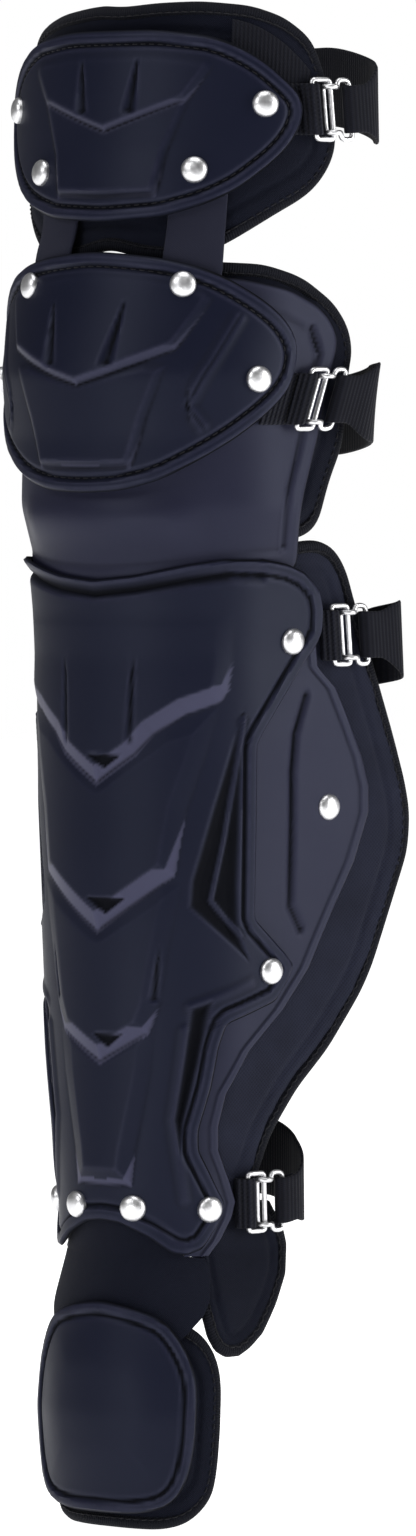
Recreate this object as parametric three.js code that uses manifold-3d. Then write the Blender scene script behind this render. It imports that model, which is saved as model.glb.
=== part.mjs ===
// Leg guard of a baseball catcher: thigh plate, knee cap, brace, shin plate with two wings and toe guard,
// on sewn pads, with four elastic straps that hook to wire rings on the outer side of the leg.
// Millimetres, +Z up, the front of the leg faces -Y. The straps fasten on the +X side.

import * as THREE from 'three';
import { mergeVertices } from 'three/addons/utils/BufferGeometryUtils.js';
import Module from 'manifold-3d';

const wasm = await Module();
wasm.setup();

// Heights of the zones, from the toe pad's foot upward
const TOE_LENGTH = 102;
const INSTEP_LENGTH = 22;
const SHIN_LENGTH = 314;
const KNEE_LENGTH = 138;
const HINGE_LENGTH = 4;
const THIGH_LENGTH = 107;
const LEG_SEAT_HEIGHT = 337;

// The leg form that every plate follows: its radius, and how far its front ridge stands before the leg's axis
const TOE_RADIUS = 60;
const ANKLE_RADIUS = 46;
const CALF_RADIUS = 64;
const KNEE_RADIUS = 77;
const THIGH_RADIUS = 97;
const TOE_FORWARD = 67;
const ANKLE_FORWARD = 61;
const SHIN_FORWARD = 64;
const KNEE_FORWARD = 77;
const THIGH_FORWARD = 57;
const ARC_END = THREE.MathUtils.degToRad(72);

// Half widths of the plates and pads, measured round the leg from the front ridge
const THIGH_SHELL_REACH = 93;
const KNEE_CAP_REACH = 102;
const BRACE_REACH = 130;
const SHIN_REACH = 116;
const WING_FIN = 28;
const TOE_SHELL_REACH = 49;
const THIGH_PAD_REACH = 115;
const KNEE_PAD_REACH = 142;
const SHIN_PAD_REACH = 172;
const TOE_PAD_REACH = 64;
const FLAP_REACH = 54;
const ANKLE_PAD_REACH = 102;
const ANKLE_PAD_LENGTH = 68;

// Half width of the raised middle panel of a plate
const THIGH_PANEL = 38;
const KNEE_PANEL = 41;
const BRACE_PANEL = 60;
const SHIN_PANEL = 40;
const TOE_PANEL = 24;

// Walls and clearances
const SEAT_GAP = 0.3;
const LAYER_GAP = 1.2;
const SHELL_WALL = 3;
const WING_WALL = 3;
const PAD_THICKNESS = 9.5;
const PAD_RIM = 4;
const ANKLE_PAD_THICKNESS = 6;
const FLAP_THICKNESS = 3;
const PANEL_LIFT = 3.5;
const BRACE_SWELL = 3;
const TOE_LIFT = 2;

// Hinge straps between the thigh plate and the knee cap
const HINGE_WIDTH = 28;
const HINGE_THICKNESS = 2;

// Rivets
const RIVET_DIAMETER = 12;
const RIVET_HEIGHT = 3.2;
const RIVET_GAP = 0.8;
const RIVET_SIDES = 10;

// Wire rings, hooks and webbing of the straps
const WIRE = 2.4;
const WIRE_GAP = 0.6;
const WIRE_SIDES = 6;
const WIRE_CORNER = 1.5;
const RING_SLACK = 1.2;
const WEBBING_WIDTH = 23;
const WEBBING_THICKNESS = 1.6;
const ELASTIC_WIDTH = 36;
const ELASTIC_THICKNESS = 1.8;
const ELASTIC_STEPS = 22;
const FOLD_END = 1.9;
const HOOK_TAIL = 10;
const HOOK_FLARE = 3;
const STRAP_SETTLE = 22;
const SEWN_LENGTH = 18;

// Layers, as distances from the leg form: shells on top, then wings, brace and straps, then the pads
const SECOND_LAYER = Math.max(WING_WALL, HINGE_THICKNESS, FLAP_THICKNESS, WEBBING_THICKNESS);
const SECOND_OUT = -(SHELL_WALL + LAYER_GAP);
const PAD_FRONT = SECOND_OUT - SECOND_LAYER - LAYER_GAP;
const CAP_INSIDE = SECOND_OUT + Math.max(HINGE_THICKNESS, WEBBING_THICKNESS) + 2 * LAYER_GAP;
const CAP_OUT = CAP_INSIDE + SHELL_WALL;

// Zones from bottom to top: where each one starts and how long it is
const TOE = { start: 0, length: TOE_LENGTH };
const INSTEP = { start: TOE.start + TOE.length, length: INSTEP_LENGTH };
const SHIN = { start: INSTEP.start + INSTEP.length, length: SHIN_LENGTH };
const KNEE = { start: SHIN.start + SHIN.length, length: KNEE_LENGTH };
const THIGH = { start: KNEE.start + KNEE.length + HINGE_LENGTH, length: THIGH_LENGTH };

function level(zone, share) {
  return zone.start + share * zone.length;
}

// Sections of the leg form from bottom to top
const SECTIONS = [
  { z: level(TOE, 0.00), forward: 0.985 * TOE_FORWARD, radius: 0.97 * TOE_RADIUS },
  { z: level(TOE, 0.51), forward: 1.015 * TOE_FORWARD, radius: 1.02 * TOE_RADIUS },
  { z: level(TOE, 0.95), forward: 0.955 * TOE_FORWARD, radius: 0.97 * TOE_RADIUS },
  { z: level(INSTEP, 1.00), forward: ANKLE_FORWARD, radius: ANKLE_RADIUS },
  { z: level(SHIN, 0.06), forward: ANKLE_FORWARD, radius: ANKLE_RADIUS },
  { z: level(SHIN, 0.28), forward: 0.96 * SHIN_FORWARD, radius: 0.91 * CALF_RADIUS },
  { z: level(SHIN, 0.49), forward: SHIN_FORWARD, radius: 0.95 * CALF_RADIUS },
  { z: level(SHIN, 0.64), forward: SHIN_FORWARD, radius: CALF_RADIUS },
  { z: level(SHIN, 0.86), forward: 1.015 * SHIN_FORWARD, radius: CALF_RADIUS },
  { z: level(SHIN, 0.97), forward: 1.06 * SHIN_FORWARD, radius: 1.05 * CALF_RADIUS },
  { z: level(KNEE, 0.17), forward: 0.96 * KNEE_FORWARD, radius: 1.01 * KNEE_RADIUS },
  { z: level(KNEE, 0.39), forward: 0.96 * KNEE_FORWARD, radius: 0.99 * KNEE_RADIUS },
  { z: level(KNEE, 0.61), forward: KNEE_FORWARD, radius: KNEE_RADIUS },
  { z: level(KNEE, 0.88), forward: 0.87 * KNEE_FORWARD, radius: 1.05 * KNEE_RADIUS },
  { z: level(THIGH, 0.09), forward: 1.09 * THIGH_FORWARD, radius: 0.95 * THIGH_RADIUS },
  { z: level(THIGH, 0.39), forward: 1.02 * THIGH_FORWARD, radius: 0.99 * THIGH_RADIUS },
  { z: level(THIGH, 0.78), forward: 0.965 * THIGH_FORWARD, radius: 1.01 * THIGH_RADIUS },
  { z: level(THIGH, 1.00), forward: 0.93 * THIGH_FORWARD, radius: 1.01 * THIGH_RADIUS },
];

function sectionAt(z) {
  const last = SECTIONS.length - 1;
  let i = 0;
  while (i < last - 1 && z > SECTIONS[i + 1].z) i += 1;
  const low = SECTIONS[i];
  const high = SECTIONS[i + 1];
  const t = THREE.MathUtils.clamp((z - low.z) / (high.z - low.z), 0, 1);
  return {
    forward: THREE.MathUtils.lerp(low.forward, high.forward, t),
    radius: THREE.MathUtils.lerp(low.radius, high.radius, t),
  };
}

// A point of the leg form: `along` is measured round the leg from the front ridge, towards +X,
// and `out` is the distance from the form. Past the end of the arc the form runs straight back.
function legPoint(along, z, out) {
  const { forward, radius } = sectionAt(z);
  const side = Math.sign(along);
  const distance = Math.abs(along);
  const angle = Math.min(distance / radius, ARC_END);
  const straight = Math.max(distance - radius * ARC_END, 0);
  const x = (radius + out) * Math.sin(angle) + straight * Math.cos(angle);
  const y = radius - forward - (radius + out) * Math.cos(angle) + straight * Math.sin(angle);
  return new THREE.Vector3(side * x, y, z);
}

function legNormal(along, z) {
  const step = 1;
  const round = legPoint(along + step, z, 0).sub(legPoint(along - step, z, 0));
  const up = legPoint(along, z + step, 0).sub(legPoint(along, z - step, 0));
  return round.cross(up).normalize();
}

// Closed meshes and cuts
function closed(geometry) {
  geometry.deleteAttribute('normal');
  geometry.deleteAttribute('uv');
  const merged = mergeVertices(geometry, 1e-3);
  merged.computeVertexNormals();
  return merged;
}

function toManifold(geometry) {
  const vertProperties = new Float32Array(geometry.getAttribute('position').array);
  const triVerts = new Uint32Array(geometry.getIndex().array);
  return new wasm.Manifold(new wasm.Mesh({ numProp: 3, vertProperties, triVerts }));
}

function toGeometry(manifold) {
  const mesh = manifold.getMesh();
  const geometry = new THREE.BufferGeometry();
  geometry.setAttribute('position', new THREE.BufferAttribute(mesh.vertProperties, 3));
  geometry.setIndex(new THREE.BufferAttribute(mesh.triVerts, 1));
  geometry.computeVertexNormals();
  return geometry;
}

// Row levels: `middle` on the front ridge, `shoulder` at the panel's edge, `edge` at the plate's edge.
// Curved rows pass smoothly through the three, straight ones bend at the shoulder.
function rowHeight(row, distance, panel, curved) {
  const toShoulder = (row.shoulder - row.middle) / panel;
  const toEdge = (row.edge - row.shoulder) / (row.half - panel);
  if (curved) {
    const bend = (toEdge - toShoulder) / row.half;
    return row.middle + toShoulder * distance + bend * distance * (distance - panel);
  }
  if (distance <= panel) return row.middle + toShoulder * distance;
  return row.shoulder + toEdge * (distance - panel);
}

// A plate symmetric about the front ridge. Its columns are even within the panel and even outside it.
const PANEL_COLUMNS = 4;
const OUTER_COLUMNS = 4;

function plateAlong(share, half, panel, outerColumns) {
  const step = Math.abs(share) * (PANEL_COLUMNS + outerColumns);
  const inner = Math.min(step / PANEL_COLUMNS, 1) * panel;
  const outer = Math.max(step - PANEL_COLUMNS, 0) / outerColumns * (half - panel);
  return Math.sign(share) * (inner + outer);
}

function rowsOf(table, zone, reach) {
  return table.map((row) => ({
    middle: level(row.zone ?? zone, row.middle ?? row.edge),
    shoulder: level(row.zone ?? zone, row.shoulder ?? row.middle ?? row.edge),
    edge: level(row.zone ?? zone, row.edge),
    half: row.half * reach,
    lift: row.lift ?? 0,
  }));
}

function plate({ zone, reach, panel, table, curved, outside, inside, outerColumns = OUTER_COLUMNS }) {
  const rows = rowsOf(table, zone, reach);
  const columns = 2 * (PANEL_COLUMNS + outerColumns);
  const geometry = new THREE.BoxGeometry(1, 1, 1, columns, rows.length - 1, 1);
  const position = geometry.getAttribute('position');
  for (let i = 0; i < position.count; i += 1) {
    const share = 2 * position.getX(i);
    const rowIndex = Math.round((position.getY(i) + 0.5) * (rows.length - 1));
    const row = rows[rowIndex];
    const along = plateAlong(share, row.half, panel, outerColumns);
    const z = rowHeight(row, Math.abs(along), panel, curved);
    const place = {
      row,
      distance: Math.abs(along),
      onRim: Math.abs(share) > 0.999 || rowIndex === 0 || rowIndex === rows.length - 1,
    };
    const out = position.getZ(i) > 0 ? outside(place) : inside(place);
    const point = legPoint(along, z, out);
    position.setXYZ(i, point.x, point.y, point.z);
  }
  return closed(geometry);
}

// A strip on one side of the leg, from an inner to an outer edge
function strip({ side, columns, rows, outside, inside }) {
  const geometry = new THREE.BoxGeometry(1, 1, 1, columns, rows.length - 1, 1);
  const position = geometry.getAttribute('position');
  for (let i = 0; i < position.count; i += 1) {
    const share = side * position.getX(i) + 0.5;
    const rowIndex = Math.round((position.getY(i) + 0.5) * (rows.length - 1));
    const row = rows[rowIndex];
    const along = side * THREE.MathUtils.lerp(row.inner, row.outer, share);
    const onRim = share < 0.001 || share > 0.999 || rowIndex === 0 || rowIndex === rows.length - 1;
    const out = position.getZ(i) > 0 ? outside(row, onRim) : inside(row, onRim);
    const point = legPoint(along, row.z, out);
    position.setXYZ(i, point.x, point.y, point.z);
  }
  return closed(geometry);
}

// A raised panel: full lift in its middle, none at its edge and beyond
function panelLift(place, panel, lift) {
  const full = (PANEL_COLUMNS - 1) / PANEL_COLUMNS * panel;
  return place.distance <= full + 0.01 ? place.row.lift * lift : 0;
}

function shellLayer(panel, out, lift) {
  return {
    outside: (place) => out + panelLift(place, panel, lift),
    inside: (place) => out + panelLift(place, panel, lift) - SHELL_WALL,
  };
}

// A pad is thick inside and thin along its bound rim
const padLayer = {
  outside: () => PAD_FRONT,
  inside: (place) => PAD_FRONT - (place.onRim ? PAD_RIM : PAD_THICKNESS),
};

// Thigh plate and pad
const THIGH_SHELL_ROWS = [
  { middle: 0.084, shoulder: 0.126, edge: 0.374, half: 0.905 },
  { middle: 0.182, shoulder: 0.224, edge: 0.411, half: 0.946 },
  { middle: 0.220, shoulder: 0.262, edge: 0.449, half: 0.973, lift: 0.55 },
  { middle: 0.346, shoulder: 0.430, edge: 0.495, half: 0.995, lift: 0.35 },
  { middle: 0.449, shoulder: 0.579, edge: 0.542, half: 1.000, lift: 0.1 },
  { middle: 0.495, shoulder: 0.626, edge: 0.579, half: 0.995, lift: 0.8 },
  { middle: 0.673, shoulder: 0.720, edge: 0.617, half: 0.968, lift: 0.5 },
  { middle: 0.893, shoulder: 0.874, edge: 0.664, half: 0.905 },
];
const THIGH_PAD_ROWS = [
  { middle: 0.003, shoulder: 0.055, edge: 0.234, half: 0.922 },
  { middle: 0.120, shoulder: 0.160, edge: 0.300, half: 0.970 },
  { middle: 0.300, shoulder: 0.320, edge: 0.380, half: 0.996 },
  { middle: 0.480, shoulder: 0.490, edge: 0.480, half: 1.000 },
  { middle: 0.660, shoulder: 0.650, edge: 0.590, half: 0.996 },
  { middle: 0.850, shoulder: 0.820, edge: 0.690, half: 0.960 },
  { middle: 0.972, shoulder: 0.950, edge: 0.757, half: 0.904 },
];

// Knee cap, brace and pad
const KNEE_CAP_ROWS = [
  { middle: 0.217, shoulder: 0.279, edge: 0.536, half: 0.922 },
  { middle: 0.243, shoulder: 0.304, edge: 0.551, half: 0.946 },
  { middle: 0.290, shoulder: 0.350, edge: 0.572, half: 0.971 },
  { middle: 0.326, shoulder: 0.384, edge: 0.594, half: 0.985, lift: 0.7 },
  { middle: 0.442, shoulder: 0.529, edge: 0.623, half: 0.995, lift: 0.5 },
  { middle: 0.562, shoulder: 0.678, edge: 0.652, half: 1.000, lift: 0.25 },
  { middle: 0.601, shoulder: 0.725, edge: 0.681, half: 0.995, lift: 1 },
  { middle: 0.739, shoulder: 0.804, edge: 0.714, half: 0.980, lift: 0.6 },
  { middle: 0.870, shoulder: 0.877, edge: 0.739, half: 0.956 },
  { middle: 1.000, shoulder: 0.967, edge: 0.761, half: 0.922 },
];
const BRACE_ROWS = [
  { middle: -0.050, shoulder: 0.025, edge: 0.030, half: 0.800 },
  { middle: -0.010, shoulder: 0.045, edge: 0.060, half: 0.808, lift: 0.5 },
  { middle: 0.065, shoulder: 0.087, edge: 0.145, half: 0.827, lift: 1 },
  { middle: 0.159, shoulder: 0.181, edge: 0.232, half: 0.850, lift: 1 },
  { middle: 0.217, shoulder: 0.246, edge: 0.319, half: 0.881 },
  { middle: 0.391, shoulder: 0.413, edge: 0.464, half: 0.931 },
  { middle: 0.609, shoulder: 0.609, edge: 0.623, half: 0.985 },
  { middle: 0.768, shoulder: 0.768, edge: 0.725, half: 0.996 },
  { middle: 0.928, shoulder: 0.920, edge: 0.819, half: 0.892 },
];
const KNEE_PAD_ROWS = [
  { middle: 0.030, shoulder: 0.050, edge: 0.085, half: 0.845 },
  { edge: 0.145, half: 0.859 },
  { edge: 0.261, half: 0.901 },
  { edge: 0.362, half: 0.951 },
  { edge: 0.500, half: 0.979 },
  { middle: 0.688, edge: 0.674, half: 1.000 },
  { middle: 0.840, shoulder: 0.825, edge: 0.761, half: 0.958 },
  { middle: 0.993, shoulder: 0.971, edge: 0.833, half: 0.880 },
];

// Shin plate and pad. Three chevrons step down the plate: each foot row has no lift, the row above has most.
const SHIN_SHELL_ROWS = [
  { middle: 0.049, shoulder: 0.002, edge: 0.006, half: 0.405 },
  { middle: 0.076, shoulder: 0.048, edge: 0.048, half: 0.490 },
  { middle: 0.096, shoulder: 0.076, edge: 0.073, half: 0.517 },
  { middle: 0.124, shoulder: 0.105, edge: 0.102, half: 0.474, lift: 0.7 },
  { middle: 0.178, shoulder: 0.156, edge: 0.156, half: 0.397, lift: 0.5 },
  { middle: 0.226, shoulder: 0.210, edge: 0.194, half: 0.400, lift: 0.25 },
  { middle: 0.274, shoulder: 0.347, edge: 0.248, half: 0.453 },
  { middle: 0.299, shoulder: 0.373, edge: 0.303, half: 0.483, lift: 0.85 },
  { middle: 0.338, shoulder: 0.401, edge: 0.334, half: 0.509, lift: 0.65 },
  { middle: 0.354, shoulder: 0.414, edge: 0.351, half: 0.640, lift: 0.55 },
  { middle: 0.373, shoulder: 0.430, edge: 0.366, half: 0.750, lift: 0.5 },
  { middle: 0.395, shoulder: 0.449, edge: 0.392, half: 0.819, lift: 0.35 },
  { middle: 0.424, shoulder: 0.481, edge: 0.414, half: 0.845, lift: 0.2 },
  { middle: 0.463, shoulder: 0.548, edge: 0.484, half: 0.655 },
  { middle: 0.490, shoulder: 0.573, edge: 0.529, half: 0.655, lift: 1 },
  { middle: 0.551, shoulder: 0.631, edge: 0.599, half: 0.655, lift: 0.7 },
  { middle: 0.615, shoulder: 0.700, edge: 0.669, half: 0.660, lift: 0.35 },
  { middle: 0.674, shoulder: 0.774, edge: 0.732, half: 0.664 },
  { middle: 0.700, shoulder: 0.800, edge: 0.755, half: 0.698, lift: 1 },
  { middle: 0.774, shoulder: 0.844, edge: 0.857, half: 0.905, lift: 0.7 },
  { middle: 0.838, shoulder: 0.885, edge: 0.892, half: 0.957, lift: 0.45 },
  { middle: 0.892, shoulder: 0.930, edge: 0.927, half: 0.996, lift: 0.25 },
  { middle: 0.930, shoulder: 0.955, edge: 0.955, half: 0.983, lift: 0.1 },
  { middle: 0.947, shoulder: 0.971, edge: 0.981, half: 0.914, lift: -0.25 },
  { middle: 0.959, shoulder: 0.982, edge: 0.994, half: 0.828, lift: 0.3 },
  { middle: 0.970, shoulder: 0.994, edge: 1.000, half: 0.724, lift: 0.3 },
];
const SHIN_PAD_FOOT = 0.07;
const SHIN_PAD_ROWS = [
  { edge: SHIN_PAD_FOOT, half: 0.453 },
  { edge: 0.105, half: 0.488 },
  { edge: 0.166, half: 0.529 },
  { edge: 0.246, half: 0.640 },
  { edge: 0.366, half: 0.831 },
  { edge: 0.487, half: 0.936 },
  { edge: 0.624, half: 1.000 },
  { edge: 0.742, half: 0.942 },
  { edge: 0.866, half: 0.866 },
  { edge: 0.940, half: 0.814 },
  { edge: 0.987, half: 0.785 },
  { middle: 0.996, shoulder: 1.000, edge: 1.014, half: 0.744 },
  { middle: 1.003, shoulder: 1.006, edge: 1.025, half: 0.698 },
];

// Wings beside the shin plate, in shares of its reach: the inner edge lies under the plate,
// and the outer edge stands past it by a share of the wing's fin
const WING_ROWS = [
  { at: 0.000, inner: 0.345, outer: 0.474, fin: 0.00 },
  { at: 0.051, inner: 0.362, outer: 0.577, fin: 0.00 },
  { at: 0.073, inner: 0.362, outer: 0.586, fin: 0.00 },
  { at: 0.108, inner: 0.328, outer: 0.551, fin: 0.00 },
  { at: 0.150, inner: 0.284, outer: 0.500, fin: 0.00 },
  { at: 0.185, inner: 0.284, outer: 0.500, fin: 0.00 },
  { at: 0.232, inner: 0.328, outer: 0.535, fin: 0.00 },
  { at: 0.293, inner: 0.362, outer: 0.623, fin: 0.10 },
  { at: 0.350, inner: 0.405, outer: 0.759, fin: 0.25 },
  { at: 0.408, inner: 0.534, outer: 0.828, fin: 0.50 },
  { at: 0.471, inner: 0.534, outer: 0.862, fin: 0.75 },
  { at: 0.560, inner: 0.534, outer: 0.943, fin: 0.95 },
  { at: 0.631, inner: 0.534, outer: 1.000, fin: 1.00 },
  { at: 0.669, inner: 0.534, outer: 1.000, fin: 1.00 },
  { at: 0.745, inner: 0.552, outer: 0.971, fin: 0.80 },
  { at: 0.812, inner: 0.716, outer: 0.981, fin: 0.40 },
  { at: 0.845, inner: 0.750, outer: 0.991, fin: 0.00 },
  { at: 0.924, inner: 0.776, outer: 0.978, fin: 0.00 },
];

// Ankle pads, hanging below the shin pad's foot
const ANKLE_PAD_ROWS = [
  { at: 0.00, inner: 0.647, outer: 0.745 },
  { at: 0.04, inner: 0.608, outer: 0.784 },
  { at: 0.13, inner: 0.559, outer: 0.863 },
  { at: 0.32, inner: 0.510, outer: 0.931 },
  { at: 0.50, inner: 0.480, outer: 0.990 },
  { at: 0.685, inner: 0.468, outer: 1.000 },
  { at: 0.80, inner: 0.461, outer: 0.980 },
  { at: 1.00, inner: 0.451, outer: 0.912 },
];

// Instep flap: riveted behind the shin plate's foot, sewn between the toe plate and the toe pad
const FLAP_ROWS = [
  { zone: TOE, at: 0.843, half: 0.740 },
  { zone: TOE, at: 0.950, half: 0.940 },
  { zone: INSTEP, at: 0.100, half: 1.000 },
  { zone: INSTEP, at: 0.450, half: 0.985 },
  { zone: INSTEP, at: 0.800, half: 0.850 },
  { zone: INSTEP, at: 0.950, half: 0.611 },
  { zone: SHIN, at: 0.096, half: 0.593 },
];

// Toe plate and pad
const TOE_SHELL_ROWS = [
  { middle: 0.078, shoulder: 0.093, edge: 0.137, half: 0.735 },
  { middle: 0.118, shoulder: 0.132, edge: 0.196, half: 0.857 },
  { middle: 0.294, shoulder: 0.294, edge: 0.314, half: 0.949, lift: 0.6 },
  { middle: 0.510, shoulder: 0.510, edge: 0.510, half: 1.000, lift: 1 },
  { middle: 0.706, shoulder: 0.696, edge: 0.667, half: 0.990, lift: 1 },
  { middle: 0.873, shoulder: 0.853, edge: 0.794, half: 0.918, lift: 0.6 },
  { middle: 1.015, shoulder: 0.980, edge: 0.912, half: 0.735 },
];
const TOE_PAD_ROWS = [
  { middle: 0.000, shoulder: 0.005, edge: 0.049, half: 0.797 },
  { middle: 0.078, shoulder: 0.083, edge: 0.137, half: 0.938 },
  { edge: 0.284, half: 0.984 },
  { edge: 0.559, half: 1.000 },
  { edge: 0.725, half: 0.969 },
  { middle: 0.853, shoulder: 0.850, edge: 0.814, half: 0.906 },
  { middle: 0.941, shoulder: 0.935, edge: 0.892, half: 0.797 },
];

// Hinge straps: `centre` and the rivets' places are shares of the hinge width from the front ridge
const HINGE_FOOT = level(KNEE, 0.80);
const HINGE_HEAD = level(THIGH, 0.41);
const HINGES = [
  { name: 'hinge_strap_left', side: -1, centre: 1.143, thighRivet: 1.464, kneeRivet: 1.393 },
  { name: 'hinge_strap_right', side: 1, centre: 1.643, thighRivet: 1.571, kneeRivet: 1.536 },
];

function hingeStrap({ side, centre }) {
  const kneeInside = SECOND_OUT + LAYER_GAP;
  const thighInside = SECOND_OUT - HINGE_THICKNESS;
  const stations = [
    { z: HINGE_FOOT, inside: kneeInside },
    { z: level(KNEE, 0.90), inside: kneeInside },
    { z: level(KNEE, 0.99), inside: kneeInside },
    { z: level(THIGH, 0.05), inside: thighInside },
    { z: level(THIGH, 0.09), inside: thighInside },
    { z: level(THIGH, 0.25), inside: thighInside },
    { z: HINGE_HEAD, inside: thighInside },
  ];
  const rows = stations.map((station) => ({
    ...station,
    inner: (centre - 0.5) * HINGE_WIDTH,
    outer: (centre + 0.5) * HINGE_WIDTH,
  }));
  return strip({
    side,
    columns: 3,
    rows,
    outside: (row) => row.inside + HINGE_THICKNESS,
    inside: (row) => row.inside,
  });
}

// Rivets: where each one sits, and how far out the plate under its head is
const RIVETS = [
  ...HINGES.flatMap(({ side, thighRivet, kneeRivet }) => {
    const where = side < 0 ? 'left' : 'right';
    return [
      {
        name: `rivet_thigh_low_${where}`, z: level(THIGH, 0.30), along: side * thighRivet * HINGE_WIDTH,
        seat: 0,
      },
      {
        name: `rivet_thigh_side_${where}`, z: level(THIGH, 0.575), along: side * 0.80 * THIGH_SHELL_REACH,
        seat: 0,
      },
      {
        name: `rivet_knee_top_${where}`, z: level(KNEE, 0.888), along: side * kneeRivet * HINGE_WIDTH,
        seat: CAP_OUT,
      },
      {
        name: `rivet_knee_side_${where}`, z: level(KNEE, 0.587), along: side * 0.80 * KNEE_CAP_REACH,
        seat: CAP_OUT,
      },
      {
        name: `rivet_shin_top_${where}`, z: level(SHIN, 0.882), along: side * 0.835 * SHIN_REACH,
        seat: 0,
      },
      {
        name: `rivet_wing_${where}`, z: level(SHIN, 0.640), along: side * (0.83 * SHIN_REACH + 0.85 * WING_FIN),
        seat: SECOND_OUT,
      },
      {
        name: `rivet_shin_lug_${where}`, z: level(SHIN, 0.408), along: side * 0.724 * SHIN_REACH,
        seat: 0,
      },
      {
        name: `rivet_foot_side_${where}`, z: level(SHIN, 0.067), along: side * 0.440 * SHIN_REACH,
        seat: 0,
      },
      {
        name: `rivet_foot_mid_${where}`, z: level(SHIN, 0.070), along: side * 0.287 * FLAP_REACH,
        seat: 0,
      },
    ];
  }),
];

function rivetGeometry() {
  const cap = RIVET_DIAMETER / 2;
  const profile = [
    new THREE.Vector2(0, 0),
    new THREE.Vector2(cap, 0),
    new THREE.Vector2(0.94 * cap, 0.40 * RIVET_HEIGHT),
    new THREE.Vector2(0.60 * cap, 0.86 * RIVET_HEIGHT),
    new THREE.Vector2(0, RIVET_HEIGHT),
  ];
  return closed(new THREE.LatheGeometry(profile, RIVET_SIDES));
}

function placeOnForm(object, along, z, out) {
  const normal = legNormal(along, z);
  object.position.copy(legPoint(along, z, 0).addScaledVector(normal, out));
  object.quaternion.setFromUnitVectors(new THREE.Vector3(0, 1, 0), normal);
  object.updateMatrix();
  return object;
}

// Straps: `ring` is the front bar's place, `root` where the webbing starts, `straight` how far the elastic
// runs on past its hook before it turns round the leg, `sewn` where it meets the far pad, `behind` how far
// behind the axis it passes. `lean` tips the bars along the leg.
const STRAPS = [
  {
    name: 'thigh', z: level(THIGH, 0.556), root: 0.88 * THIGH_SHELL_REACH, ring: 1.065 * THIGH_SHELL_REACH,
    under: PAD_FRONT, lean: -0.15, straight: 0.03 * THIGH_PAD_REACH, sewn: 1.02 * THIGH_PAD_REACH,
    behind: 0.80 * THIGH_RADIUS, riseBack: 0.39 * ELASTIC_WIDTH, riseEnd: 0.1 * ELASTIC_WIDTH,
  },
  {
    name: 'knee', z: level(KNEE, 0.522), root: 0.863 * KNEE_CAP_REACH, ring: 1.049 * KNEE_CAP_REACH,
    under: SECOND_OUT, lean: 0.40, straight: 0.07 * KNEE_PAD_REACH, sewn: 1.02 * BRACE_REACH + SEWN_LENGTH,
    behind: 1.02 * KNEE_RADIUS, riseBack: -0.22 * ELASTIC_WIDTH, riseEnd: -0.11 * ELASTIC_WIDTH,
  },
  {
    name: 'calf', z: level(SHIN, 0.889), root: 1.022 * SHIN_REACH, ring: 1.065 * SHIN_REACH,
    under: PAD_FRONT, lean: -0.05, straight: 0.07 * SHIN_PAD_REACH, sewn: 0.96 * SHIN_PAD_REACH,
    behind: 1.12 * CALF_RADIUS, riseBack: -0.44 * ELASTIC_WIDTH, riseEnd: -0.33 * ELASTIC_WIDTH,
  },
  {
    name: 'ankle', z: level(SHIN, 0.070), root: 0.607 * SHIN_REACH, ring: 0.651 * SHIN_REACH,
    under: PAD_FRONT, lean: -0.05, straight: 0.01 * ANKLE_PAD_REACH, sewn: 0.90 * ANKLE_PAD_REACH,
    behind: 1.02 * ANKLE_RADIUS, riseBack: 0.42 * ELASTIC_WIDTH, riseEnd: 0.33 * ELASTIC_WIDTH,
  },
];

// The webbing's eye round the ring's front bar, and the ring's rear bar with the hook crooked round it
const EYE_HOLE = WIRE / 2 + WIRE_GAP;
const FOLD_STEP = THREE.MathUtils.degToRad(45);
const TAB_FOLD = (EYE_HOLE + WEBBING_THICKNESS / 2) / Math.cos(FOLD_STEP / 2);
const ELASTIC_FOLD = (EYE_HOLE + ELASTIC_THICKNESS / 2) / Math.cos(FOLD_STEP / 2);
const TAB_EYE = TAB_FOLD + WEBBING_THICKNESS / 2;
const ELASTIC_EYE = ELASTIC_FOLD + ELASTIC_THICKNESS / 2;
const CROOK_STEP = THREE.MathUtils.degToRad(48);
const CROOK_START = THREE.MathUtils.degToRad(212);
const CROOK_POINTS = 5;
const CROOK_RADIUS = (WIRE + WIRE_GAP) / Math.cos(CROOK_STEP / 2);
const RING_DEPTH = TAB_EYE + WIRE_GAP + WIRE / 2 - CROOK_RADIUS * Math.cos(CROOK_START) + RING_SLACK;
const RING_HALF = WEBBING_WIDTH / 2 + WIRE_GAP + WIRE / 2;
const HOOK_HALF = RING_HALF - WIRE - WIRE_GAP;
const HOOK_LENGTH = RING_DEPTH + HOOK_TAIL;
const HOOK_RISE = 0.3 * CROOK_RADIUS;
const HOOK_END_HALF = HOOK_HALF + HOOK_FLARE;

function ringLevel(strap) {
  return strap.under + LAYER_GAP + TAB_EYE;
}

// A point of the hardware: `run` is counted from the ring's front bar towards the back of the leg
// Its bars are straight, so they run between the form's points at the ring's two ends.
function strapPoint(strap, run, height, out) {
  const along = strap.ring + run + strap.lean * height;
  const low = legPoint(along, strap.z - RING_HALF, ringLevel(strap) + out);
  const high = legPoint(along, strap.z + RING_HALF, ringLevel(strap) + out);
  return low.lerp(high, (height / RING_HALF + 1) / 2);
}

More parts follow.
